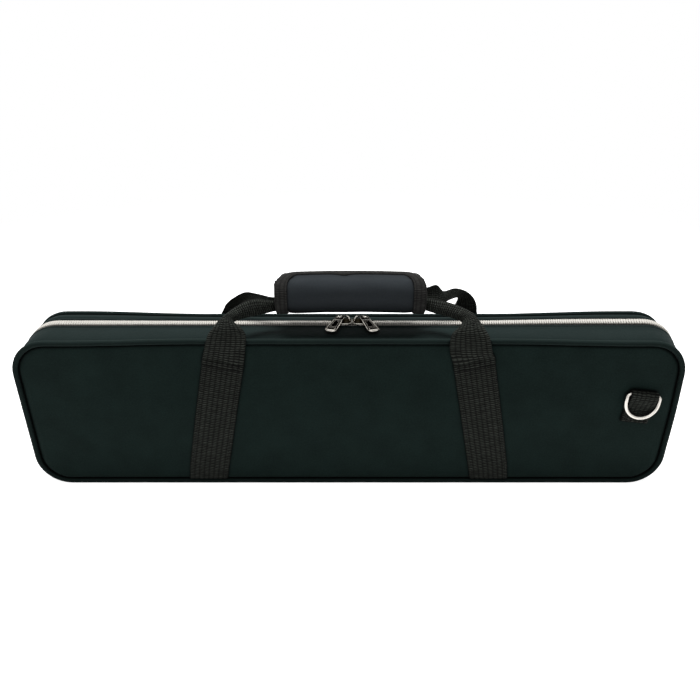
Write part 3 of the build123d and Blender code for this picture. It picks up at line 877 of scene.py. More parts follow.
def make_chain(side):
    """One row of the fine moulded chain, half a pitch out of step with the other row."""
    run = outline_run(ZIP_END_X)
    total = run[-1][4]
    count = int(total / CHAIN_PITCH)
    profile = [
        (CHAIN_HALF_WIDTH, TAPE_INSET),
        (CHAIN_HALF_WIDTH, CHAIN_TOP_INSET + 0.35),
        (CHAIN_HALF_WIDTH - 0.35, CHAIN_TOP_INSET),
        (0.35, CHAIN_TOP_INSET - 0.1),
        (-0.45, CHAIN_TOP_INSET + 0.05),
        (-TOOTH_HEAD_REACH, CHAIN_TOP_INSET + 0.4),
        (-TOOTH_HEAD_REACH, TAPE_INSET),
    ]
    shape = Shape()
    for index in range(count):
        distance = (index + (0.25 if side == FRONT else 0.75)) * total / count
        place, normal, tangent = place_on_run(run, distance)
        y = ZIP_Y + side * set_back(place.x, place.z)
        near = smooth((CHAIN_SINK_REACH - abs(place.x - SLIDER_MEET_X)) / CHAIN_SINK_RUN)
        sink = CHAIN_SINK * near * (place.z > CASE_HEIGHT / 2)
        rows = []
        for along, shrink in TOOTH_SECTIONS:
            row = []
            for reach, inset in profile:
                head = 1.0 if reach > 0 else 0.8
                point = place + tangent * (along * CHAIN_PITCH * head)
                point = point - normal * (inset + sink + shrink * (0 if inset == TAPE_INSET else 1))
                point.y = y + side * (reach - (shrink if reach > 1 else 0))
                row.append(point)
            rows.append(row)
        shape.add_grid(rows, cap=True)
    make_side_piece(side, "chain", shape, chain_plastic, "zip_teeth")


# Stitching

# A stitch's sections: places along it and sizes, both as shares, and the corners of each
STITCH_SECTIONS = ((-0.5, 0.3), (-0.32, 0.9), (0.32, 0.9), (0.5, 0.3))
STITCH_ANGLES = (0, 60, 120, 180, 270)


def stitch_row(shape, places, pitch=2.6, length=1.9, width=0.42, height=0.22):
    """Adds thread dashes along a line of (point, normal) places."""
    points = [Vector(point) for point, up in places]
    lengths = lengths_along(points, False)
    total = lengths[-1]
    count = max(1, int(total / pitch))
    segment = 0
    for index in range(count):
        middle = (index + 0.5) * total / count
        while segment < len(points) - 2 and lengths[segment + 1] < middle:
            segment += 1
        share = (middle - lengths[segment]) / max(1e-6, lengths[segment + 1] - lengths[segment])
        centre = points[segment].lerp(points[segment + 1], share)
        along = (points[segment + 1] - points[segment]).normalized()
        up = Vector(places[segment][1]).normalized()
        across = along.cross(up).normalized()
        rows = []
        for reach, size in STITCH_SECTIONS:
            rows.append([])
            for turned in map(math.radians, STITCH_ANGLES):
                rows[-1].append(
                    centre
                    + along * (reach * length)
                    + across * (math.cos(turned) * width / 2 * size)
                    + up * (math.sin(turned) * height * size)
                )
        shape.add_grid(rows, close_columns=True, cap=True)


def make_lip_stitches(side):
    """The row of stitches along the gusset's fold, just beside the zip."""
    y = lip_end(side) + side * 1.7
    places = [
        (drawn_in(station, GUSSET_INSET + 0.22, y), (station[2], 0, station[3]))
        for station in outline_run()
    ]
    shape = Shape()
    stitch_row(shape, places + places[:1])
    make_side_piece(side, "lip_stitches", shape, thread_cloth)


# Webbing


def spline_through(values, steps):
    """Points on a smooth curve through every value, steps to each stretch."""
    values = [Vector(value) for value in values]
    ends = [values[0] * 2 - values[1]] + values + [values[-1] * 2 - values[-2]]
    result = []
    for a, b, c, d in zip(ends, ends[1:], ends[2:], ends[3:]):
        square, cube = 2 * a - 5 * b + 4 * c - d, 3 * b - a - 3 * c + d
        for step in range(steps):
            t = step / steps
            result.append(0.5 * ((2 * b) + (c - a) * t + square * t * t + cube * t**3))
    result.append(values[-1])
    return result


RIBS = 8
RIB_SAMPLES = 6
RIB_ROUNDNESS = 0.6
SELVEDGE_FROM, SELVEDGE_THINNING = 0.94, 0.6


def ribbon(first_edge, second_edge, thicknesses, bulges=None, ribs=RIBS, rib_height=0.24, outward=None):
    """A strip of webbing between two edge lines, ribbed on both faces."""
    shape = Shape()
    count = len(first_edge)
    bulges = bulges or [0.0] * count
    samples = ribs * RIB_SAMPLES
    middles = [(a + b) / 2 for a, b in zip(first_edge, second_edge)]
    rows = []
    previous = None
    for index in range(count):
        along = (middles[min(index + 1, count - 1)] - middles[max(index - 1, 0)]).normalized()
        across = second_edge[index] - first_edge[index]
        normal = across.cross(along).normalized()
        if previous is not None and normal.dot(previous) < 0:
            normal = -normal
        elif previous is None and outward is not None and normal.dot(outward) < 0:
            normal = -normal
        previous = normal
        half = thicknesses[index] / 2
        outer, inner = [], []
        for sample in range(samples + 1):
            share = sample / samples
            rib = rib_height * (abs(math.sin(math.pi * ribs * share)) ** RIB_ROUNDNESS - 1.0)
            thinning = max(0.0, abs(2 * share - 1) - SELVEDGE_FROM) / (1 - SELVEDGE_FROM)
            edge = 1.0 - thinning * SELVEDGE_THINNING
            bulge = normal * bulges[index] * (1 - (2 * share - 1) ** 2)
            place = first_edge[index] + across * share + bulge
            outer.append(place + normal * (half * edge + rib))
            inner.append(place - normal * (half * edge + rib))
        rows.append(outer + inner[::-1])
    counts = [ribs * sample / samples for sample in range(samples + 1)]
    shape.add_grid(rows, close_columns=True, cap=True, across=counts + counts[::-1] + counts[:1])
    return shape


LEG_STEPS = 40
LEG_FOOT_STEPS = 4
EDGE_STITCH_SHARES = (0.07, 0.93)
CROSS_STITCH_STEPS = (1.1, 2.6)  # down from the top, in steps of the leg


def strap_lean():
    """The angle by which each sewn leg leans in towards the grip."""
    return math.atan2(STRAP_FOOT[0] - STRAP_SEAM[0], STRAP_SEAM[1] - STRAP_FOOT[1])


def leg_edges(side, hand):
    """Edge lines of one sewn leg, from its foot in the bottom seam up to the cross seam."""
    lean = strap_lean()
    across = Vector((hand * math.cos(lean), 0, math.sin(lean))) * (WEBBING_WIDTH / 2)
    foot = Vector((hand * STRAP_FOOT[0], 0, STRAP_FOOT[1]))
    seam = Vector((hand * STRAP_SEAM[0], 0, STRAP_SEAM[1]))
    first, second = [], []
    for step in range(LEG_STEPS + 1):
        middle = foot.lerp(seam, step / LEG_STEPS)
        # At the bottom seam both edges come to one level
        level = smooth(step / LEG_FOOT_STEPS)
        for edge, line in ((middle + across, first), (middle - across, second)):
            edge.z = edge.z * level + STRAP_FOOT[1] * (1 - level)
            edge.y = panel_surface(side, edge.x, edge.z) + side * (WEBBING_THICKNESS / 2 - 0.1)
            line.append(edge)
    return first, second


def make_legs(side):
    """The two sewn legs, with stitches up their edges and two rows across their tops."""
    shape = Shape()
    stitches = Shape()
    up = Vector((0, side, 0))
    lift = up * (WEBBING_THICKNESS / 2 - 0.05)
    over = up * (WEBBING_THICKNESS / 2 + OVERLAP_LIFT - 0.05)
    for hand in (-1, 1):
        first, second = leg_edges(side, hand)
        shape.add_shape(ribbon(first, second, [WEBBING_THICKNESS] * len(first), outward=up))
        for share in EDGE_STITCH_SHARES:
            line = [(a.lerp(b, share) + lift, up) for a, b in zip(first, second)]
            stitch_row(stitches, line, pitch=2.3, length=1.6)
        for back in CROSS_STITCH_STEPS:
            step = int(back)
            a = first[-1 - step].lerp(first[-2 - step], back - step)
            b = second[-1 - step].lerp(second[-2 - step], back - step)
            line = [(a.lerp(b, 0.05 + 0.9 * place / 8) + over, up) for place in range(9)]
            stitch_row(stitches, line, pitch=2.2, length=1.8, width=0.75, height=0.3)
    make_side_piece(side, "strap_legs", shape, strap_cloth, "handle_legs")
    make_side_piece(side, "strap_stitches", stitches, strap_thread)


# Stations of the free straps above their cross seams: the edge that is outermost at the
# seam, the edge that is innermost there, the thickness and how far the middle bulges out.
FREE_STRAPS = {
    (FRONT, -1): [
        ((-89.8, -23.7, 107.5), (-64.4, -23.7, 107.5), 1.6, 0.3),
        ((-87.6, -23.2, 114.1), (-63.9, -23.6, 114.3), 1.6, 0.8),
        ((-83.8, -21.0, 118.9), (-66.5, -22.6, 119.0), 1.7, 2.2),
        ((-78.7, -16.5, 123.0), (-70.8, -20.0, 121.1), 1.9, 3.2),
        ((-73.3, -14.5, 127.2), (-69.5, -16.0, 120.8), 2.0, 3.0),
        ((-66.1, -12.5, 131.2), (-64.2, -11.0, 120.8), 2.0, 2.8),
        ((-58.5, -10.0, 132.6), (-56.6, -6.0, 120.8), 2.1, 2.8),
        ((-50.5, -6.6, 130.3), (-48.7, -4.0, 122.0), 2.2, 1.6),
        ((-42.9, -4.0, 128.9), (-42.0, -3.4, 123.1), 2.2, 0.6),
    ],
    (REAR, -1): [
        ((-85.4, 23.4, 111.5), (-74.0, 22.8, 111.8), 1.6, 0.6),
        ((-82.8, 22.6, 115.9), (-73.0, 20.0, 115.2), 1.6, 1.4),
        ((-77.7, 20.5, 120.8), (-69.9, 16.0, 118.7), 1.7, 1.8),
        ((-68.8, 17.0, 126.4), (-63.7, 10.5, 121.4), 1.8, 1.4),
        ((-60.2, 12.0, 127.4), (-56.5, 6.0, 123.3), 1.9, 1.0),
        ((-50.4, 6.5, 127.3), (-48.3, 2.5, 123.4), 2.0, 1.0),
        ((-43.7, 4.0, 128.3), (-42.3, 1.5, 124.5), 2.2, 0.6),
    ],
    (FRONT, 1): [
        ((90.7, -23.7, 102.3), (63.8, -23.7, 102.5), 1.6, 0.3),
        ((88.2, -23.2, 112.1), (63.4, -23.6, 110.2), 1.6, 0.8),
        ((85.2, -21.0, 116.9), (64.5, -23.0, 115.1), 1.7, 2.0),
        ((81.8, -17.0, 121.0), (68.4, -20.5, 118.3), 1.8, 2.8),
        ((77.3, -14.5, 125.3), (70.7, -16.5, 119.6), 1.9, 3.0),
        ((70.6, -12.0, 128.2), (67.2, -12.0, 120.0), 2.0, 3.2),
        ((63.2, -9.5, 130.1), (60.7, -8.0, 120.9), 2.0, 3.0),
        ((55.6, -7.5, 131.0), (55.2, -5.0, 121.4), 2.1, 2.6),
        ((49.5, -5.5, 131.2), (49.5, -4.0, 122.7), 2.2, 1.6),
        ((44.0, -4.0, 131.2), (43.8, -3.4, 123.8), 2.2, 0.8),
    ],
    (REAR, 1): [
        ((88.2, 24.0, 107.6), (71.5, 24.0, 108.3), 1.6, 0.6),
        ((87.0, 23.4, 114.5), (71.6, 22.6, 114.1), 1.6, 0.6),
        ((84.0, 21.5, 120.7), (72.8, 19.5, 119.4), 1.6, 0.6),
        ((78.1, 18.5, 126.6), (71.7, 14.0, 123.8), 1.7, 0.5),
        ((70.0, 15.0, 130.0), (66.7, 9.0, 124.4), 1.7, 0.5),
        ((61.7, 11.0, 129.6), (61.4, 5.5, 123.5), 1.8, -0.8),
        ((56.8, 8.0, 135.1), (56.6, 3.5, 125.0), 1.9, 1.4),
        ((50.4, 5.0, 134.6), (50.5, 1.5, 126.6), 2.0, 1.0),
        ((44.5, 3.8, 134.6), (44.0, 1.0, 127.5), 2.2, 0.6),
    ],
}
STRAP_STEPS = 9


def make_spans(side):
    """The free straps between the cross seams and the grip."""
    shape = Shape()
    name = SIDE_NAMES[side]
    for hand in (-1, 1):
        outer_leg, inner_leg = leg_edges(side, hand)
        stations = []
        for step, lift in ((-3, OVERLAP_LIFT), (-2, OVERLAP_LIFT), (-1, 0.7 * OVERLAP_LIFT)):
            out = Vector((0, side * lift, 0))
            edges = (settled(outer_leg[step]) + out, settled(inner_leg[step]) + out)
            stations.append((*edges, WEBBING_THICKNESS, 0.0))
        stations += FREE_STRAPS[(side, hand)]
        first, second, thickness, bulge = zip(*stations)
        first, second = spline_through(first, STRAP_STEPS), spline_through(second, STRAP_STEPS)
        extra = spline_through([(*pair, 0) for pair in zip(thickness, bulge)], STRAP_STEPS)
        outward = Vector((0, side, 0))
        shape.add_shape(
            ribbon(first, second, [e.x for e in extra], [e.y for e in extra], outward=outward)
        )
    piece = make_piece(
        f"{name}_free_straps", shape, strap_cloth, None, [f"{name}_handle_spans"]
    )
    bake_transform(piece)


# Grip


def grip_point(angle, x, offset):
    """A place on the grip's oval; the angle is 0 at the front and 90 at the top."""
    turned = math.radians(angle)
    y = -(GRIP_HALF_Y + offset) * math.cos(turned)
    z = GRIP_Z + (GRIP_HALF_Z + offset) * math.sin(turned)
    return Vector((x + GRIP_SHIFT, y, z - GRIP_ARCH * (x / GRIP_HALF_LENGTH) ** 2))


def grip_half_length(angle, corner):
    """Half the flap's length at an angle, with its corners rounded near the free edge."""
    arc = math.radians(abs(90 - angle)) * (GRIP_HALF_Y + GRIP_HALF_Z) / 2
    if arc >= corner:
        return GRIP_HALF_LENGTH
    return GRIP_HALF_LENGTH - corner + math.sqrt(max(0.0, corner**2 - (corner - arc) ** 2))


DEGREES = 57.3  # in a radian
PAD_STEPS, PAD_COLUMNS = 36, 56
# The pad's crown, the seam inside its binding and its unevenness, by how far in from the edge
PAD_CROWN_FROM, PAD_CROWN_RUN = 5.0, 9.0
PAD_SEAM_DEPTH, PAD_SEAM_PLACE, PAD_SEAM_WIDTH = 0.35, 6.2, 0.8
PAD_UNEVEN_RISE, PAD_UNEVEN_RUN = 0.25, 8.0
PAD_UNEVEN_LENGTH, PAD_UNEVEN_TURN = 17.0, 28.0
PAD_LOW_MARGIN = 6.0


def grip_pad(low, high, corner, thickness, puff, sink=0.0, short=0.0):
    """A padded shell on the oval between two angles, crowned between its bound edges."""
    outer, inner = [], []
    for step in range(PAD_STEPS + 1):
        angle = low + (high - low) * step / PAD_STEPS
        half = (grip_half_length(angle, corner) if corner else GRIP_HALF_LENGTH) - short
        outer.append([])
        inner.append([])
        for column in range(PAD_COLUMNS + 1):
            share = 2 * column / PAD_COLUMNS - 1
            x = half * (0.75 * share + 0.25 * math.sin(share * math.pi / 2))
            from_high = (high - angle) / DEGREES * GRIP_HALF_Z
            from_low = (angle - low) / DEGREES * GRIP_HALF_Z
            edge = min(half - abs(x), from_high, from_low + PAD_LOW_MARGIN)
            seam = PAD_SEAM_DEPTH * math.exp(-((edge - PAD_SEAM_PLACE) / PAD_SEAM_WIDTH) ** 2)
            rise = puff * smooth((edge - PAD_CROWN_FROM) / PAD_CROWN_RUN) - seam
            uneven = noise.noise(Vector((x / PAD_UNEVEN_LENGTH, angle / PAD_UNEVEN_TURN, low)))
            rise += PAD_UNEVEN_RISE * smooth(edge / PAD_UNEVEN_RUN) * uneven
            outer[-1].append(grip_point(angle, x, rise - sink))
            inner[-1].append(grip_point(angle, x, -thickness))
    shape = Shape()
    front = shape.add_grid(outer)
    back = shape.add_grid(inner)
    join_rims(shape, front, back)
    return shape


GRIP_CORNER = 13.0
END_BINDING = 7.0
TOP_BINDING = 3.4
TOP_NOTCH, TOP_NOTCH_X, TOP_NOTCH_RUN = 1.3, -4.0, 4.5
SLEEVE_SINK = 1.5
SLEEVE_SHORT = 1.8
LINER_SINK = 3.5


def flap_edge_path():
    """Angles and lengths along the flap's bound edge, the ways inward there, and the end's count.

    The edge runs from the bottom left round over the top to the bottom right.
    """
    degrees = DEGREES / ((GRIP_HALF_Y + GRIP_HALF_Z) / 2)
    path, directions = [], []
    low = -88.0
    corner_angle = 90 - GRIP_CORNER * degrees
    for step in range(16):
        path.append((low + (corner_angle - low) * step / 16, -GRIP_HALF_LENGTH))
        directions.append((0.0, 1.0))
    for step in range(9):
        turned = math.radians(180 - 90 * step / 8)
        angle = corner_angle + GRIP_CORNER * math.sin(turned) * degrees
        path.append((angle, -GRIP_HALF_LENGTH + GRIP_CORNER + GRIP_CORNER * math.cos(turned)))
        directions.append((-math.sin(turned) * degrees, -math.cos(turned)))
    end_count = len(path)
    span = 2 * (GRIP_HALF_LENGTH - GRIP_CORNER)
    for step in range(1, 24):
        path.append((90.0, -span / 2 + span * step / 24))
        directions.append((-degrees, 0.0))
    path += [(angle, -x) for angle, x in path[end_count - 1 :: -1]]
    directions += [(turn, -along) for turn, along in directions[end_count - 1 :: -1]]
    return path, directions, end_count


def make_flap():
    """The wrap's outer flap and the tape that binds its edge, notched a little at the top."""
    shape = grip_pad(-90.0, 90.0, GRIP_CORNER, 2.1, 0.7)
    flap = make_piece("grip_flap_pad", shape, grip_cloth, "wrap_flap", ["grip_flap"])
    path, directions, _ = flap_edge_path()
    rows = []
    for (angle, x), (turn, along) in zip(path, directions):
        on_end = abs(along)
        notch = TOP_NOTCH * math.exp(-(((x - TOP_NOTCH_X) / TOP_NOTCH_RUN) ** 2)) * (1 - on_end)
        width = TOP_BINDING + (END_BINDING - TOP_BINDING) * on_end + notch
        section = (
            (-0.2, -2.2), (-0.8, -1.6), (-1.0, -0.5), (-0.6, 0.4), (0.3, 0.85), (width * 0.4, 0.95),
            (width * 0.8, 0.85), (width - 0.25, 0.6), (width, 0.1), (width * 0.6, -0.3),
            (0.5, -0.6), (0.5, -2.2),
        )
        rows.append([grip_point(angle + turn * reach, x + along * reach, out) for reach, out in section])
    make_piece(
        "grip_flap_edge", loft(rows), binding_cloth, "wrap_flap", ["grip_flap_binding"]
    )


# The binding's section on the sleeve: how far it reaches inward and lies outward
SLEEVE_BINDING = (
    (-0.2, -4.4), (-0.8, -3.4), (-1.0, -0.5), (-0.6, 0.4), (0.3, 0.85), (3.0, 0.95),
    (5.6, 0.85), (6.75, 0.6), (7.0, 0.1), (4.0, -0.3), (0.5, -0.6), (0.5, -4.4),
)


def make_sleeve():
    """The wrap's inner sleeve, with a thin liner under the flap, and its two bound ends."""
    shape = grip_pad(90.0, 270.0, GRIP_CORNER, 7.2, 0.6, SLEEVE_SINK, SLEEVE_SHORT)
    liner = grip_pad(-90.0, 92.0, 0.0, 1.2, 0.0)
    for point in liner.points:
        radial = Vector((0, point.y, point.z - GRIP_Z))
        if radial.length:
            point -= radial.normalized() * LINER_SINK
    shape.add_shape(liner)
    sleeve = make_piece("grip_sleeve_pad", shape, grip_cloth, "front_grip", ["grip_sleeve"])
    binding = Shape()
    path, directions, end_count = flap_edge_path()
    for hand in (-1, 1):
        rows = []
        for (angle, x), (turn, along) in zip(path[:end_count], directions):
            row = []
            for reach, out in SLEEVE_BINDING:
                turned = 180.0 - (angle + turn * reach)
                length = -hand * (x + SLEEVE_SHORT + along * reach)
                row.append(grip_point(turned, length, out - SLEEVE_SINK))
            rows.append(row)
        binding.add_grid(rows, close_columns=True, cap=True)
    make_piece(
        "grip_sleeve_edge", binding, binding_cloth, "front_grip", ["grip_sleeve_binding"]
    )


PATCHES = (("grip_loop_patch", "wrap_flap", -2.35), ("grip_hook_patch", "front_grip", -3.15))
PATCH_HALF_ANGLE = 38.0
PATCH_STEPS = 14
PATCH_SECTION = ((-43.0, -0.2), (-42.6, 0.2), (0.0, 0.24), (42.6, 0.2), (43.0, -0.2), (0.0, -0.2))


def make_patches():
    """The hook and the loop tape between the flap and the sleeve."""
    for name, body, offset in PATCHES:
        rows = []
        for step in range(PATCH_STEPS + 1):
            angle = -PATCH_HALF_ANGLE + 2 * PATCH_HALF_ANGLE * step / PATCH_STEPS
            rows.append([grip_point(angle, x, offset + rise) for x, rise in PATCH_SECTION])
        make_piece(f"{name}_tape", loft(rows), hook_cloth, body, [name])


def make_grip_webbing():
    """The straps bunched together inside the grip."""
    steps = 30
    for side, name in SIDE_NAMES.items():
        low, high = node_box(f"{name}_grip_webbing")
        middle = (low.y + high.y) / 2
        first, second = [], []
        for step in range(steps + 1):
            x = low.x + (high.x - low.x) * step / steps
            uneven = 0.3 * noise.noise(Vector((x / 14.0, side, 0)))
            first.append(Vector((x, middle + uneven, high.z - 0.4)))
            second.append(Vector((x, middle - uneven, low.z + 0.4)))
        shape = ribbon(first, second, [2.6] * len(first), outward=Vector((0, side, 0)))
        make_piece(
            f"{name}_inner_webbing", shape, strap_cloth, f"{name}_grip", [f"{name}_grip_webbing"],
        )


# Metal pieces


def tube(path, radius, sides=12, closed=False):
    """A round wire along a line of points."""
    rows = []
    count = len(path)
    reference = None
    for index in range(count):
        if closed:
            along = path[(index + 1) % count] - path[index - 1]
        else:
            along = path[min(index + 1, count - 1)] - path[max(index - 1, 0)]
        along.normalize()
        if reference is None:
            reference = along.orthogonal().normalized()
        reference = (reference - along * reference.dot(along)).normalized()
        other = along.cross(reference)
        rows.append([
            path[index]
            + reference * (radius * math.cos(2 * math.pi * k / sides))
            + other * (radius * math.sin(2 * math.pi * k / sides))
            for k in range(sides)
        ])
    return loft(rows, close_rows=closed)


def plate(outlines, thickness, bevel):
    """A flat plate with rounded edges on the X-Y plane, its first outline outside, the rest holes."""
    curve = bpy.data.curves.new("plate", "CURVE")
    curve.dimensions = "2D"
    curve.fill_mode = "BOTH"
    curve.extrude = (thickness / 2 - bevel) * MM
    curve.bevel_depth = bevel * MM
    curve.bevel_resolution = 2
    curve.offset = -bevel * MM
    for outline in outlines:
        spline = curve.splines.new("POLY")
        spline.points.add(len(outline) - 1)
        for point, (x, y) in zip(spline.points, outline):
            point.co = (x * MM, y * MM, 0, 1)
        spline.use_cyclic_u = True
    holder = bpy.data.objects.new("plate", curve)
    bpy.context.scene.collection.objects.link(holder)
    graph = bpy.context.evaluated_depsgraph_get()
    mesh = bpy.data.meshes.new_from_object(holder.evaluated_get(graph))
    shape = Shape()
    for vertex in mesh.vertices:
        shape.add_point(vertex.co / MM)
    for polygon in mesh.polygons:
        corners = list(polygon.vertices)
        shape.add_face(corners, [(mesh.vertices[c].co.x / MM, mesh.vertices[c].co.y / MM) for c in corners])
    bpy.data.objects.remove(holder)
    bpy.data.curves.remove(curve)
    bpy.data.meshes.remove(mesh)
    return shape


def rounded(corners, steps=5):
    """An outline from corners given as x, y and radius."""
    outline = []
    count = len(corners)
    for index, (x, y, radius) in enumerate(corners):
        here = Vector((x, y, 0))
        before = Vector((*corners[index - 1][:2], 0))
        after = Vector((*corners[(index + 1) % count][:2], 0))
        if radius <= 0:
            outline.append((x, y))
            continue
        a = (before - here).normalized()
        b = (after - here).normalized()
        half = a.angle(b) / 2
        reach = min(radius / math.tan(half), (before - here).length / 2, (after - here).length / 2)
        for step in range(steps + 1):
            t = step / steps
            p = (here + a * reach) * (1 - t) ** 2 + here * 2 * t * (1 - t) + (here + b * reach) * t * t
            outline.append((p.x, p.y))
    return outline


def circle(radius, steps):
    """Corners of a circle round the origin."""
    turns = [2 * math.pi * k / steps for k in range(steps)]
    return [(radius * math.cos(turned), radius * math.sin(turned)) for turned in turns]


CHAIN_LEVEL = CASE_HEIGHT - CHAIN_INSET
PLATE_OFFSET = 1.4
PLATE_THICKNESS = 1.1
PLATE_TOP = CHAIN_LEVEL + PLATE_OFFSET + PLATE_THICKNESS
LEG_X = SLIDER_MEET_X + SLIDER_GAP / 2 + SLIDER_LENGTH - 1.6
PULL_LEVEL = PLATE_TOP + 0.5


def zip_shift():
    """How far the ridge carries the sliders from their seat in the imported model."""
    seat = Vector((SLIDER_MEET_X, ZIP_Y, CASE_HEIGHT))
    return settled(seat) - seat


def at_level(z):
    """A move up to a level."""
    return Matrix.Translation((0, 0, z))


def slider_bridge(nose_x, leg_x):
    """The arch over a slider that carries its pull, slimmer at the leg where the pull hangs."""
    top = PLATE_TOP + 3.15
    corners = (
        (nose_x - 0.5, PLATE_TOP - 0.3),
        (nose_x - 0.2, PLATE_TOP + 1.5),
        (nose_x + 1.0, top - 0.2),
        ((nose_x + leg_x) / 2, top + 0.15),
        (leg_x - 1.0, top - 0.2),
        (leg_x, PLATE_TOP + 1.9),
        (leg_x, PLATE_TOP - 0.3),
    )
    arch = tube(spline_through([(x, 0, z) for x, z in corners], 4), 0.62, 10)
    for point in arch.points:
        slim = smooth((point.x - leg_x + 1.4) / 1.4)
        point.y *= 1.65 - 0.55 * slim
    return arch


def make_slider(hand):
    """One slider: two plates, the post between them, side flanges and the arched bridge."""
    name = "left" if hand < 0 else "right"
    start = SLIDER_GAP / 2
    end = start + SLIDER_LENGTH
    half_outline = [(start, 3.3, 1.0), (start + 2.4, 4.8, 1.4), (end - 2.6, 4.7, 1.2), (end, 3.3, 1.2)]
    outline = rounded([(x, -y, r) for x, y, r in half_outline] + half_outline[::-1])
    body = Shape()
    for level in (
        CHAIN_LEVEL + PLATE_OFFSET + PLATE_THICKNESS / 2, CHAIN_LEVEL - PLATE_OFFSET - PLATE_THICKNESS / 2
    ):
        body.add_shape(plate([outline], PLATE_THICKNESS, 0.4), at_level(level))
    post = rounded([
        (start + x, y, 0.4) for x, y in ((0.4, -0.8), (2.4, -0.8), (2.4, 0.8), (0.4, 0.8))
    ])
    body.add_shape(plate([post], 2 * PLATE_OFFSET + 0.2, 0.1), at_level(CHAIN_LEVEL))
    for sign in (-1, 1):
        flange = rounded([
            (start + 4.2, sign * 4.8, 0.3), (end - 1.8, sign * 4.6, 0.3),
            (end - 1.8, sign * 3.5, 0.3), (start + 4.2, sign * 3.5, 0.3),
        ])
        for level in (CHAIN_LEVEL + 1.0, CHAIN_LEVEL - 1.0):
            body.add_shape(plate([flange], 0.9, 0.15), at_level(level))
    body.add_shape(slider_bridge(start + 2.0, LEG_X - SLIDER_MEET_X))
    placed = Shape()
    seat = Vector((SLIDER_MEET_X, ZIP_Y, 0))
    move = Matrix.Translation(zip_shift() + seat) @ Matrix.Diagonal((hand, 1, 1, 1))
    placed.add_shape(body, move)
    make_piece(
        f"slider_{name}_casting", placed, slider_nickel, f"slider_{name}", [f"slider_{name}"]
    )


PULL_LENGTH = 21.5
PULL_EYE = 5.4
PULL_TIP = 8.0
PULL_LEAN = 19.0
PULL_TILT = 3.5
PULL_THICKNESS = 1.8
PULL_EYE_HOLE = 1.5
PULL_END = PULL_EYE / 2 - PULL_LENGTH
WINDOW_TOP = -2.9
WINDOW_BOTTOM = PULL_END + 3.3
# The rim at the tip: any thicker, and it cuts the chain as the pull swings
RIM_THICKNESS, RIM_BEVEL = 2.6, 1.2


def pull_outline(margin, top, tip_radius):
    """The pull's tapered outline drawn in by a margin, down from a given place below its eye."""
    end = PULL_END + margin
    eye = PULL_EYE / 2 - margin
    tip = PULL_TIP / 2 - margin
    share = (PULL_EYE / 2 - top) / PULL_LENGTH
    width = eye + (tip - eye) * share
    return rounded([
        (-width, top, 0.8), (width, top, 0.8), (tip, end, tip_radius), (-tip, end, tip_radius)
    ], steps=7)


def pull_window(margin, top, bottom):
    """The opening in the pull's frame between two places along it."""
    corners = []
    for y in (top, bottom):
        share = (PULL_EYE / 2 - y) / PULL_LENGTH
        corners.append((PULL_EYE / 2 + (PULL_TIP - PULL_EYE) / 2 * share - margin, y))
    (upper, top), (lower, bottom) = corners
    return rounded([(-upper, top, 0.6), (upper, top, 0.6), (lower, bottom, 0.9), (-lower, bottom, 0.9)])


# The small frame on the enamel: its outline and its two openings, each as half its width and its
# place at the top, the same at the bottom, and the radius of its corners
SMALL_FRAME = (
    (1.75, -4.4, 2.35, -14.2, 0.4),
    (1.35, -4.8, 1.85, -12.3, 0.3),
    (1.85, -12.8, 1.9, -13.7, 0.2),
)


def tapered(upper, top, lower, bottom, radius):
    """A rounded outline with straight sides, wider at one end."""
    return rounded([
        (-upper, top, radius), (upper, top, radius), (lower, bottom, radius), (-lower, bottom, radius)
    ])


def make_pull(hand):
    """One pull: its nickel frame, the enamel let into it, and the small frame on the enamel."""
    name = "left" if hand < 0 else "right"
    place = Matrix.Translation((LEG_X, ZIP_Y, PULL_LEVEL)) @ Matrix.Rotation(math.radians(PULL_LEAN), 4, "Z")
    place = place @ Matrix.Rotation(math.radians(PULL_TILT), 4, "X")
    flip = Matrix.Translation((SLIDER_MEET_X, 0, 0)) @ Matrix.Diagonal((hand, 1, 1, 1))
    place = Matrix.Translation(zip_shift()) @ flip @ Matrix.Translation((-SLIDER_MEET_X, 0, 0)) @ place
    window = pull_window(0.75, WINDOW_TOP, WINDOW_BOTTOM)
    rim = rounded([
        (-3.1, WINDOW_BOTTOM + 0.4, 0.8), (3.1, WINDOW_BOTTOM + 0.4, 0.8),
        (3.3, PULL_END + 0.5, 2.4), (-3.3, PULL_END + 0.5, 2.4),
    ])
    frame_shape = Shape()
    for outlines, thickness, bevel, level in (
        ([pull_outline(0.0, PULL_EYE / 2, 3.2), window, circle(PULL_EYE_HOLE, 18)],
         PULL_THICKNESS, 0.45, PULL_THICKNESS / 2),
        ([rim], RIM_THICKNESS, RIM_BEVEL, PULL_THICKNESS / 2 + 0.15),
        ([tapered(*size) for size in SMALL_FRAME], 0.5, 0.12, PULL_THICKNESS - 0.3),
    ):
        frame_shape.add_shape(plate(outlines, thickness, bevel), place @ at_level(level))
    body = f"pull_{name}"
    make_piece(f"{body}_metal", frame_shape, slider_nickel, body, [f"pull_frame_{name}"])
    fill = Shape()
    inset = pull_window(0.6, WINDOW_TOP + 0.15, WINDOW_BOTTOM - 0.15)
    fill.add_shape(plate([inset], PULL_THICKNESS - 0.7, 0.1), place @ at_level(PULL_THICKNESS / 2))
    make_piece(f"{body}_enamel", fill, enamel, body, [f"pull_plate_{name}"])


RING_HALF = 10.7
RING_CORNER = 2.3
RING_DROP = 16.2
RING_WIRE = 1.2
RING_X = 191.3
RING_Z = 72.8
RING_LEAN = 7.0
RING_HANG = 8.0
TAB_WIDTH = 18.0
TAB_WEBBING = 1.4
TAB_LENGTH = 21.5
# A sewn box with one diagonal, as X and Z from the ring's bar
TAB_STITCHES = ((-7.2, -12.2), (7.2, -12.2), (7.2, -20.0), (-7.2, -20.0), (-7.2, -12.2), (7.2, -20.0))


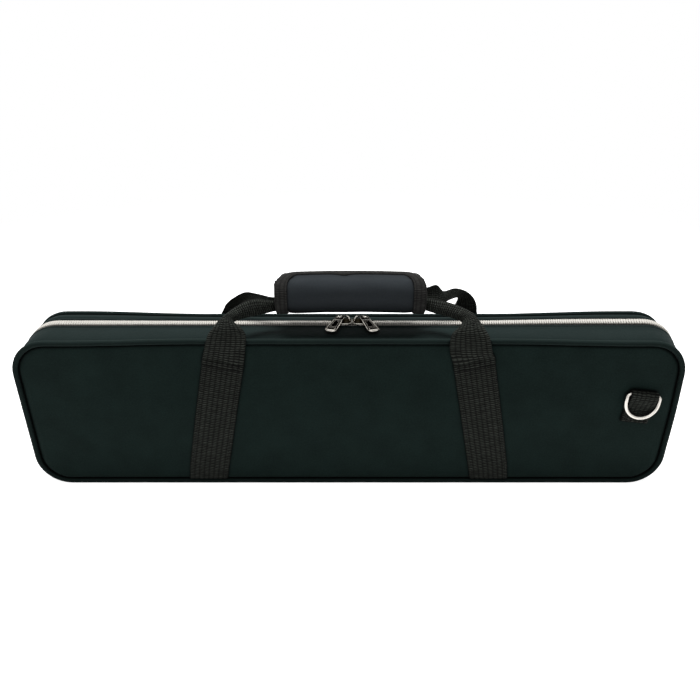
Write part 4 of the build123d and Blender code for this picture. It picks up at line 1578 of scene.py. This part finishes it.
def ring_frame(side):
    """The place and lean of a ring's bar, just off its face panel."""
    y = side * (HALF_DEPTH - PANEL_FACE_DEPTH + RING_WIRE + 0.08 + TAB_WEBBING)
    turn = Matrix.Rotation(math.pi if side == REAR else 0.0, 4, "Z")
    lean = Matrix.Rotation(math.radians(RING_LEAN), 4, "Y")
    return Matrix.Translation((-side * RING_X, y, RING_Z)) @ turn @ lean


def make_ring(side):
    """The D-ring, its bar in the tab's fold and its bow hanging over the tab."""
    end = RING_HALF - RING_CORNER

    def corner(centre, turned):
        turned = math.radians(turned)
        across, down = RING_CORNER * math.cos(turned), RING_CORNER * (math.sin(turned) - 1)
        return Vector((centre + across, 0, down))

    path = [Vector((-end + 2 * end * step / 12, 0, 0)) for step in range(12)]
    path += [corner(end, 90 - 90 * step / 7) for step in range(7)]
    for step in range(33):
        turned = math.radians(-180 * step / 32)
        drop = RING_HALF - RING_DROP + RING_HALF * math.sin(turned)
        path.append(Vector((RING_HALF * math.cos(turned), 0, drop)))
    path += [corner(-end, 180 - 90 * step / 8) for step in range(1, 8)]
    shape = Shape()
    place = ring_frame(side) @ Matrix.Rotation(math.radians(-RING_HANG), 4, "X")
    shape.add_shape(tube(path, RING_WIRE, 14, closed=True), place)
    name = SIDE_NAMES[side]
    make_piece(f"{name}_ring_wire", shape, nickel, f"ring_{name}", [f"{name}_d_ring"])


def make_tab(side):
    """The webbing tab folded over the ring's bar and sewn flat to the panel."""
    fold = RING_WIRE + 0.1 + TAB_WEBBING / 2
    line = [(fold - 0.05, -TAB_LENGTH + TAB_LENGTH * step / 13) for step in range(14)]
    for step in range(1, 13):
        turned = math.radians(180 * step / 13)
        line.append((fold * math.cos(turned), fold * math.sin(turned)))
    over = TAB_LENGTH - 0.6
    for step in range(20):
        share = step / 19
        drop = smooth((share - 0.05) / 0.55)
        line.append((-fold + (fold * 2 - TAB_WEBBING) * drop, -over * share))
    place = ring_frame(side)
    first = [place @ Vector((-TAB_WIDTH / 2, y, z)) for y, z in line]
    second = [place @ Vector((TAB_WIDTH / 2, y, z)) for y, z in line]
    shape = ribbon(first, second, [TAB_WEBBING] * len(line), ribs=6, rib_height=0.2)
    stitches = Shape()
    level = fold - TAB_WEBBING - TAB_WEBBING / 2
    corners = [(place @ Vector((x, level, z)), Vector((0, side, 0))) for x, z in TAB_STITCHES]
    for ends in zip(corners, corners[1:]):
        stitch_row(stitches, ends, pitch=1.7, length=1.3, width=0.36)
    make_side_piece(side, "tab_webbing", shape, strap_cloth, "ring_tab", settle=False)
    make_side_piece(side, "tab_stitches", stitches, strap_thread, settle=False)


# Under the case and inside it


def make_hinge_strip():
    """The cloth strip that joins the halves along the bottom."""
    steps, columns = 24, 60
    places = [strip_low.x + (strip_high.x - strip_low.x) * k / columns for k in range(columns + 1)]
    rows = []
    for step in range(steps + 1):
        y = strip_low.y + (strip_high.y - strip_low.y) * step / steps
        upper = [Vector((x, y, strip_high.z)) for x in places]
        rows.append(upper + [Vector((x, y, strip_low.z)) for x in reversed(places)])
    piece = make_piece("hinge_cloth", loft(rows), binding_cloth, None, ["hinge_strip"])
    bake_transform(piece)


POCKET_ROWS = 3
POCKET_WIDTH = 25.4
POCKET_BODY = 122.0
POCKET_STEM_WIDTH = 11.0
POCKET_END_WALL = 9.0
POCKET_SCOOP = 9.5


def insert_outline():
    """The insert's edge in the front view."""
    return [(x - nx * INSERT_INSET, z - nz * INSERT_INSET) for x, z, nx, nz, _ in outline_run()]


def pocket_outlines():
    """The fork-shaped pockets: two columns, with every other row turned end for end."""
    length = CASE_LENGTH / 2 - INSERT_INSET - 2 * POCKET_END_WALL
    wall = (CASE_HEIGHT - 2 * INSERT_INSET - POCKET_ROWS * POCKET_WIDTH) / (POCKET_ROWS + 1)
    half = POCKET_WIDTH / 2
    stem = POCKET_STEM_WIDTH / 2
    scoop_x = POCKET_BODY + (length - POCKET_BODY) / 2
    bite = math.sqrt(POCKET_SCOOP**2 - stem**2)
    points = rounded([
        (0.0, half, 2.5), (POCKET_BODY, half, 2.5), (POCKET_BODY, stem, 1.5), (scoop_x - bite, stem, 0.0)
    ])
    first_turn, last_turn = math.atan2(stem, -bite), math.atan2(stem, bite)
    for step in range(1, 12):
        turned = first_turn + (last_turn - first_turn) * step / 12
        points.append((scoop_x + POCKET_SCOOP * math.cos(turned), POCKET_SCOOP * math.sin(turned)))
    points += [(scoop_x + bite, stem), (length, stem)]
    outline = points + [(x, -y) for x, y in reversed(points)]
    outlines = []
    for row in range(POCKET_ROWS):
        z = CASE_HEIGHT / 2 + (row - (POCKET_ROWS - 1) / 2) * (POCKET_WIDTH + wall)
        for column in (-1, 1):
            way = 1 if (row + (column > 0)) % 2 == 0 else -1
            start = POCKET_END_WALL if (way == 1) == (column > 0) else POCKET_END_WALL + length
            outlines.append([(column * start + way * x, z + way * y) for x, y in outline])
    return outlines


def make_insert():
    """The foam insert in the front half: a backing slab and the sheet with fork pockets."""
    upright = Matrix.Rotation(math.radians(90), 4, "X")
    for name, outlines in (
        ("fork_insert_base", [insert_outline()]),
        ("fork_insert_sheet", [insert_outline()] + pocket_outlines()),
    ):
        low, high = node_box(name)
        place = Matrix.Translation((0, (low.y + high.y) / 2, 0)) @ upright
        shape = Shape()
        shape.add_shape(plate(outlines, high.y - low.y, 0.5), place)
        piece = make_piece(f"{name}_foam", shape, insert_foam, "tray", [name], True)


# Build


for side in (FRONT, REAR):
    make_panel(side)
    make_piping(side)
    make_gusset(side)
    make_foam(side)
    make_lining(side)
    make_zip_tape(side)
    make_chain(side)
    make_lip_stitches(side)
    make_legs(side)
    make_spans(side)
    make_ring(side)
    make_tab(side)
for hand in (-1, 1):
    make_slider(hand)
    make_pull(hand)
make_flap()
make_sleeve()
make_patches()
make_grip_webbing()
make_hinge_strip()
make_insert()


# Floor, light and camera

# Lengths here are in metres and powers in watts
WORLD_LIGHT = 0.1
FLOOR_GLOW = 0.93
FLOOR_REACH = 6.0
FADE_START, FADE_END = 0.3, 0.8
# Each light's name, place, aim, size and power
LIGHTS = (
    ("overhead", (0.0, 0.22, 1.2), (0, 0, 0.08), (1.1, 0.3), 19.5),
    ("front", (-0.3, -1.25, 0.95), (0, 0, 0.05), (1.6, 0.5), 3.3),
)
# The camera that fits the photograph, in millimetres, degrees and pixels
CAMERA_PLACE = (0.9, -411.1, 298.9)
CAMERA_DOWN = 29.2
PICTURE_PIXELS = 700.0
FOCAL_PIXELS = 690.0
RISE_PIXELS = 30.0
SENSOR_WIDTH = 36.0


def make_floor():
    """A pale floor that keeps the shadows and fades to the white background further out."""
    mesh = bpy.data.meshes.new("floor")
    corners = [(x * FLOOR_REACH, y * FLOOR_REACH, 0) for x, y in ((-1, -1), (1, -1), (1, 1), (-1, 1))]
    mesh.from_pydata(corners, [], [(0, 1, 2, 3)])
    floor = bpy.data.objects.new("floor", mesh)
    bpy.context.scene.collection.objects.link(floor)
    surface = Surface("pale_floor")
    surface.set(Base_Color=(0.8, 0.8, 0.8, 1), Roughness=0.9, Specular_IOR_Level=0.0)
    seen = surface.seen()
    glow = surface.node("Emission", Strength=surface.times(seen, FLOOR_GLOW))
    both = surface.node("AddShader")
    surface.put(both.inputs[0], surface.shader.outputs[0])
    surface.put(both.inputs[1], glow.outputs[0])
    reach = surface.node("VectorMath", operation="LENGTH")
    surface.put(reach.inputs[0], surface.object_place())
    far = surface.node(
        "MapRange", interpolation_type="SMOOTHSTEP",
        From_Min=FADE_START, From_Max=FADE_END, Value=reach.outputs["Value"],
    )
    white = surface.node("Emission", Strength=seen)
    fade = surface.node("MixShader", Fac=surface.times(far.outputs["Result"], seen))
    surface.put(fade.inputs[1], both.outputs[0])
    surface.put(fade.inputs[2], white.outputs[0])
    surface.put(surface.tree.nodes["Material Output"].inputs["Surface"], fade.outputs[0])
    mesh.materials.append(surface.material)


def make_light(name, place, aim, size, power):
    """A rectangular area light turned towards what it is aimed at."""
    lamp = bpy.data.lights.new(name, "AREA")
    lamp.shape = "RECTANGLE"
    lamp.size, lamp.size_y = size
    lamp.energy = power
    holder = bpy.data.objects.new(name, lamp)
    bpy.context.scene.collection.objects.link(holder)
    holder.location = place
    direction = Vector(aim) - Vector(place)
    holder.rotation_euler = direction.to_track_quat("-Z", "Y").to_euler()


def make_world():
    """A dim even light, with a white background where the camera or a mirror sees it."""
    world = bpy.data.worlds.new("studio")
    bpy.context.scene.world = world
    world.use_nodes = True
    graph = Graph(world.node_tree)
    background = graph.tree.nodes["Background"]
    graph.put(background.inputs["Color"], (1, 1, 1, 1))
    strength = graph.maths("MULTIPLY_ADD", graph.seen(), 1.0 - WORLD_LIGHT, WORLD_LIGHT)
    graph.put(background.inputs["Strength"], strength)


def make_camera():
    """The photograph's camera: near the case, level across, looking down at its front."""
    camera = bpy.data.cameras.new("camera")
    holder = bpy.data.objects.new("camera", camera)
    bpy.context.scene.collection.objects.link(holder)
    camera.sensor_width = SENSOR_WIDTH
    camera.lens = camera.sensor_width * FOCAL_PIXELS / PICTURE_PIXELS
    camera.shift_y = RISE_PIXELS / PICTURE_PIXELS
    camera.clip_start = 0.01
    holder.location = Vector(CAMERA_PLACE) * MM
    holder.rotation_euler = (math.radians(90 - CAMERA_DOWN), 0, 0)
    bpy.context.scene.camera = holder


make_floor()
make_world()
for light in LIGHTS:
    make_light(*light)
make_camera()
bpy.context.scene.view_settings.view_transform = "Standard"
